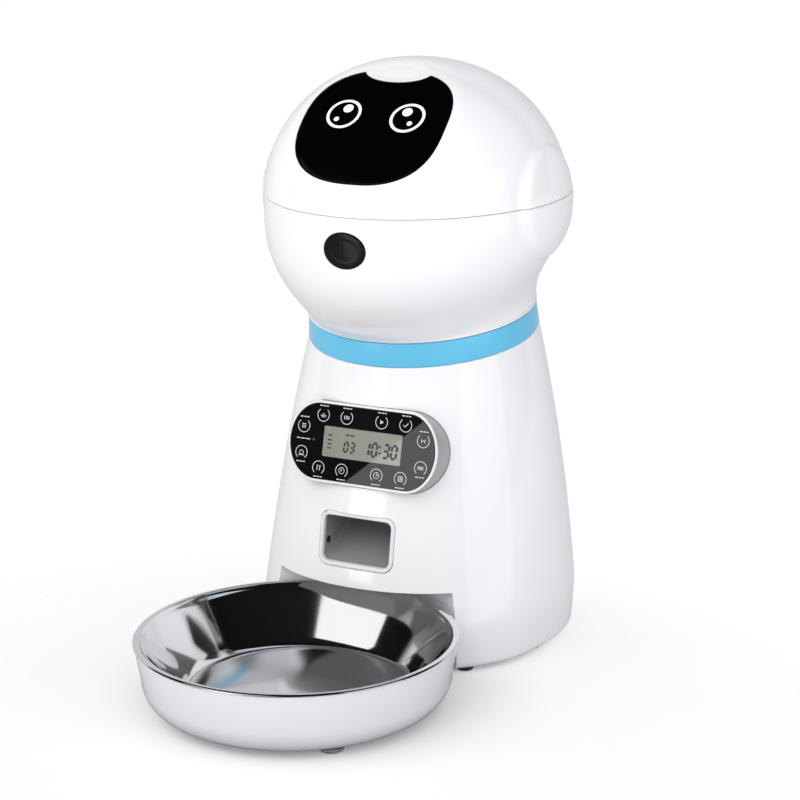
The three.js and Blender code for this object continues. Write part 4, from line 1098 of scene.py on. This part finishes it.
def make_bowl():
    rim_r, well_r, floor_r = TRAY_R + 0.9, TRAY_R - 4.4, TRAY_R - 30
    low, lip = TRAY_RIM_Z + FIT, TRAY_RIM_Z + FIT - 0.2
    half_turn = np.linspace(0, np.pi, 20)
    bead = [(rim_r - 2.1 + 2.1 * math.cos(t), low + 0.35 + 1.05 * math.sin(t)) for t in half_turn]
    wall = [
        (well_r - 0.2 - (well_r - floor_r - 2.2) * share, lip - (lip - 12.0) * share)
        for share in np.linspace(0.02, 0.97, 14)
    ]
    foot = [(floor_r + 1.6, 12.1), (floor_r + 0.9, 11.4), (floor_r, 11.05), (floor_r - 1.2, 11.0)]
    floor = [(r, 11.0) for r in np.linspace(floor_r - 2, 1, 20)]
    under = [
        (0, 10), (floor_r, 10), (floor_r + 2.4, 11.2),
        (well_r + 0.9, low - 1.4), (well_r + 1.8, low), (rim_r - 1.0, low),
    ]
    profile = [*under, *bead, *wall, *foot, *floor, (0, 11)]
    piece("steel_bowl", turned(profile, tray, 256), "bowl", "bowl_steel", ["bowl"], smooth=50)


def make_tray():
    low_r, edge, sheet, bottom = TRAY_R - 3.4, 18.0, 2.2, 3.0

    def curve(inset):
        radius = edge - inset
        turns = np.linspace(0, np.pi / 2, 14)
        return [(low_r - edge + radius * math.sin(t), bottom + edge - radius * math.cos(t)) for t in turns]

    rim = [(TRAY_R - inside, TRAY_RIM_Z - down) for inside, down in corner(0.6)]
    inner_rim = [(TRAY_R - sheet + inside, TRAY_RIM_Z - down) for inside, down in corner(0.6)[::-1]]
    profile = [(0, bottom), *curve(0), *rim, *inner_rim, *curve(sheet)[::-1], (0, bottom + sheet)]
    lug = brick(-LUG_HALF, LUG_HALF, TRAY_Y + low_r - 3, -49, LUG_LOW, LUG_HIGH, soften=1.0)
    piece("tray_dish", joined(turned(profile, tray, AROUND), lug), "tray", "white_gloss", ["tray"])


def make_feet():
    def foot(node, radius, top, body, slot):
        middle = middle_of(node)
        profile = [(0, 0), (radius - 1.0, 0), (radius, 1.0), (radius, top), (0, top)]
        pad = turned(profile, ground.at(middle.x, middle.y), 48, soften=0.5)
        piece(node.replace("foot", "pad"), pad, body, slot, [node])

    for number in range(1, 5):
        foot(f"foot_{number}", 5.5, 4.7, "base", "rubber")
        foot(f"tray_foot_{number}", 7.3, 2.7, "tray", "clear_rubber")


def make_hopper():
    sheet, well_r, low = 2.0, 53.3, HOUSING_TOP - 4
    wide_r, rim_r = HEAD_INSIDE - 11, HEAD_INSIDE - 0.8

    def rings(inset, high):
        throat = SPIGOT_R - WALL - 7.5
        levels = [
            round_ring(rotor, well_r - inset, low),
            round_ring(rotor, well_r - inset, HOUSING_TOP + FIT),
            round_ring(ground.at(0, 10, 205), throat - inset, 0),
            round_ring(ground.at(0, 6.25, 238), throat + 11 - inset, 0),
            round_ring(seam, wide_r - inset, -22.9),
            round_ring(seam, wide_r - inset, high),
        ]
        stack = [levels[0]]
        for a, b in zip(levels, levels[1:]):
            stack += [a * (1 - t) + b * t for t in np.linspace(0, 1, 9)[1:]]
        stack = np.stack(stack)
        for _ in range(3):
            stack[12:-3] += (stack[11:-4] + stack[13:-2] - 2 * stack[12:-3]) / 4
        return list(stack)

    rim = [
        (wide_r, -3.9), (rim_r, -3.9), (rim_r, -2.4), (rim_r - 0.5, -1.9),
        (wide_r - 1.6, -1.9), (wide_r - 2, -2.3),
    ]
    rim = [round_ring(seam, radius, height) for radius, height in rim]
    shell = skin([*rings(0, -2.4)[:-1], *rim, *rings(sheet, -2.6)[::-1][1:]], looped=True)
    cut(shell, brick(-4.6, 4.6, -120, 3.6 - HEAD_INSIDE, -60, 5, seam))
    piece("hopper_funnel", shell, "base", "inner_white", ["hopper"])


def make_rotor():
    hub = turned(tube(4.3, 10, 108, 136), rotor, 64, soften=0.6)
    turns = range(30, 390, 60)
    vanes = [brick(7, 49.5, -1.2, 1.2, 109, 134, rotor.at(spin=turn), soften=0.8) for turn in turns]
    piece("rotor_vanes", joined(hub, *vanes), "rotor", "silicone", ["rotor"])
    cone = [(4.3, 136.3), (10, 136.3), (9.2, 141), (8, 145), (5, 147.4), (0, 148), (0, 139.3), (4.3, 139.3)]
    finger = [(0, 0), (2, 0), (2, 31), (1.4, 32), (0, 32.2)]
    fingers = [turned(finger, rotor.at(z=142, spin=turn).at(swing=50), 32) for turn in (20, 200)]
    piece("stirrer", joined(turned(cone, rotor, 64), *fingers), "rotor", "acetal", ["agitator"])


def make_desiccant_box():
    crown = ground.at(0, CROWN_Y, CROWN_Z)
    box = turned(bar(24, 0, DRYER_HIGH), crown, 96, soften=1.2)
    cut(box, turned(bar(22, 2, DRYER_HIGH - 2), crown, 64, soften=0.8))
    for y in range(-12, 18, 6):
        cut(box, brick(-12, 12, y - 1.2, y + 1.2, -1, 3, crown, soften=0.4))
    piece("drying_box", box, "desiccant", "grey_plastic", ["desiccant_box"])


def make_socket():
    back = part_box("dc_socket")[1].y * 1000 - SHIFT
    length = 17.6
    spot = ground.at(0, back - length, INLET_Z, tilt=-90)
    block = brick(-4.6, 4.6, back - length, back - 3.6, 7.8, 21, soften=0.4)
    nose = turned(tube(3.2, INLET_R, 5, length), spot, 48, soften=0.35)
    pin = turned([(0, 3), (1, 3), (1, 14.6), (0, 15.2)], spot, 24, soften=0.2)
    piece("power_inlet", joined(block, nose, pin), "base", "smoke_plastic", ["dc_socket"])


for make in (
    make_casing, make_neck, make_lower_head, make_lid, make_eyes, make_mouth, make_spring, make_panel,
    make_display_marks, make_key_marks, make_outlet, make_chute, make_bowl, make_tray, make_feet, make_hopper,
    make_rotor, make_desiccant_box, make_socket,
):
    make()

for part in frame["record"]["subparts"]:
    node = frame["nodes"][part["node"]]
    if not node.hide_render:
        node.data.materials.clear()
        node.data.materials.append(finishes[part["material_slot"]].material)


# -------- floor, light and camera
def make_floor():
    """A white floor that fades out, keeps the feeder's shadow and sends little light back up."""
    body = bmesh.new()
    bmesh.ops.create_circle(body, cap_ends=True, segments=128, radius=1.6)
    floor = as_object(body)
    floor.name = "floor"
    finish = Finish("pale floor", (0.9, 0.9, 0.9), 0.7, Specular_IOR_Level=0.0, Emission_Strength=1.0)
    far = finish.length(finish.node("Mapping", Vector=finish.place, Location=(-0.02, 0.2, 0)))
    smooth = {"interpolation_type": "SMOOTHSTEP"}
    finish.set("Alpha", 1 - finish.node("MapRange", smooth, Value=far, From_Min=0.17, From_Max=0.42))
    seen = finish.node("LightPath", output="Is Camera Ray")
    finish.set("Base Color", finish.mixed(seen, (0.4, 0.4, 0.42), (0.85, 0.85, 0.85)))
    finish.set("Emission Color", finish.mixed(seen, (0.0, 0.0, 0.0), (0.16, 0.16, 0.16)))
    floor.data.materials.append(finish.material)


def make_world():
    """White behind the feeder; a room palest in front lights it; reflections show a dark ceiling."""
    world = bpy.data.worlds.new("studio")
    bpy.context.scene.world = world
    graph = Graph(world)
    way = graph.node("TexCoord", output="Generated")

    def ray(kind):
        return graph.node("LightPath", output=f"Is {kind} Ray")

    ahead = graph.dot(way, (0.1, -0.995, 0.0)) * 0.5 + 0.5
    room = graph.ramp(ahead, (0.05, (0.23, 0.225, 0.255)), (0.95, (1.42, 1.42, 1.42)))
    backdrop = graph.ramp(graph.dot(way, (-0.42, 0.8, -0.42)), (0.25, (0, 0, 0)), (0.45, (1, 1, 1)))
    below = graph.ramp(graph.dot(way, (0, 0, -1)), (0.0, (0, 0, 0)), (0.06, (1, 1, 1)))
    pale = graph.node("Math", {"operation": "MAXIMUM"}, **{"0": backdrop, "1": below})
    mirrored = graph.mixed(pale, (0.004, 0.004, 0.004), (0.66, 0.66, 0.68))
    lit = graph.mixed(ray("Glossy"), room, mirrored)
    color = graph.mixed(ray("Camera") + ray("Transmission"), lit, (1.0, 1.0, 1.0))
    graph.join(graph.tree.nodes["Background"].inputs["Color"], color)


def area_light(name, size, radiance, color=(1, 1, 1)):
    data = bpy.data.lights.new(name, "AREA")
    data.shape = "RECTANGLE"
    data.size, data.size_y = size
    data.energy = radiance * math.pi * size[0] * size[1]
    data.color = color
    thing = bpy.data.objects.new(name, data)
    bpy.context.scene.collection.objects.link(thing)
    return thing


def soft_box(name, bearing, height, distance, size, radiance, color=(1, 1, 1), aim=(0, 0, 0.2)):
    """A lamp seen from the feeder at a bearing and a height, both in degrees."""
    turn, rise = math.radians(bearing), math.radians(height)
    going = Vector((math.cos(turn) * math.cos(rise), math.sin(turn) * math.cos(rise), math.sin(rise)))
    thing = area_light(name, size, radiance, color)
    thing.location = Vector(aim) + going * distance
    thing.rotation_euler = going.to_track_quat("Z", "Y").to_euler()


def front_card():
    """A card that only shows in gloss: its edge falls slantwise across the panel."""
    card = area_light("front card", (0.8, 0.5), 2.2)
    across, up, out = Vector((1, 0, 0)), Vector(panel.up()), Vector(panel.out())
    along, aside = across * 0.751 + up * 0.66, across * 0.66 - up * 0.751
    middle = (Vector(panel.put(5, -1, 0)) + Vector((0, SHIFT, 0))) / 1000
    card.location = middle + Vector((-0.447, -0.876, 0.176)) * 1.5 + aside * 0.278
    card.rotation_euler = Matrix((along, -aside, out)).transposed().to_euler()
    card.visible_diffuse = False


def make_camera():
    data = bpy.data.cameras.new("camera")
    data.lens = 109.4
    data.sensor_width = 36
    data.clip_end = 20
    thing = bpy.data.objects.new("camera", data)
    bpy.context.scene.collection.objects.link(thing)
    thing.location = (0.6835, -1.2554, 0.5552)
    aim = (Vector((-0.00945, 0.0702, 0.1488)) - thing.location).to_track_quat("-Z", "Y")
    roll = Matrix.Rotation(math.radians(-0.65), 4, "Z")
    thing.rotation_euler = (aim.to_matrix().to_4x4() @ roll).to_euler()
    bpy.context.scene.camera = thing


make_floor()
make_world()
soft_box("left soft box", -117, 43, 1.9, (2.0, 0.8), 1.14, aim=(0, 0, 0.15))
soft_box("right soft box", -10, 8, 1.7, (1.3, 1.15), 0.8, (0.95, 0.95, 1.0))
front_card()
make_camera()
bpy.context.scene.view_settings.view_transform = "Standard"
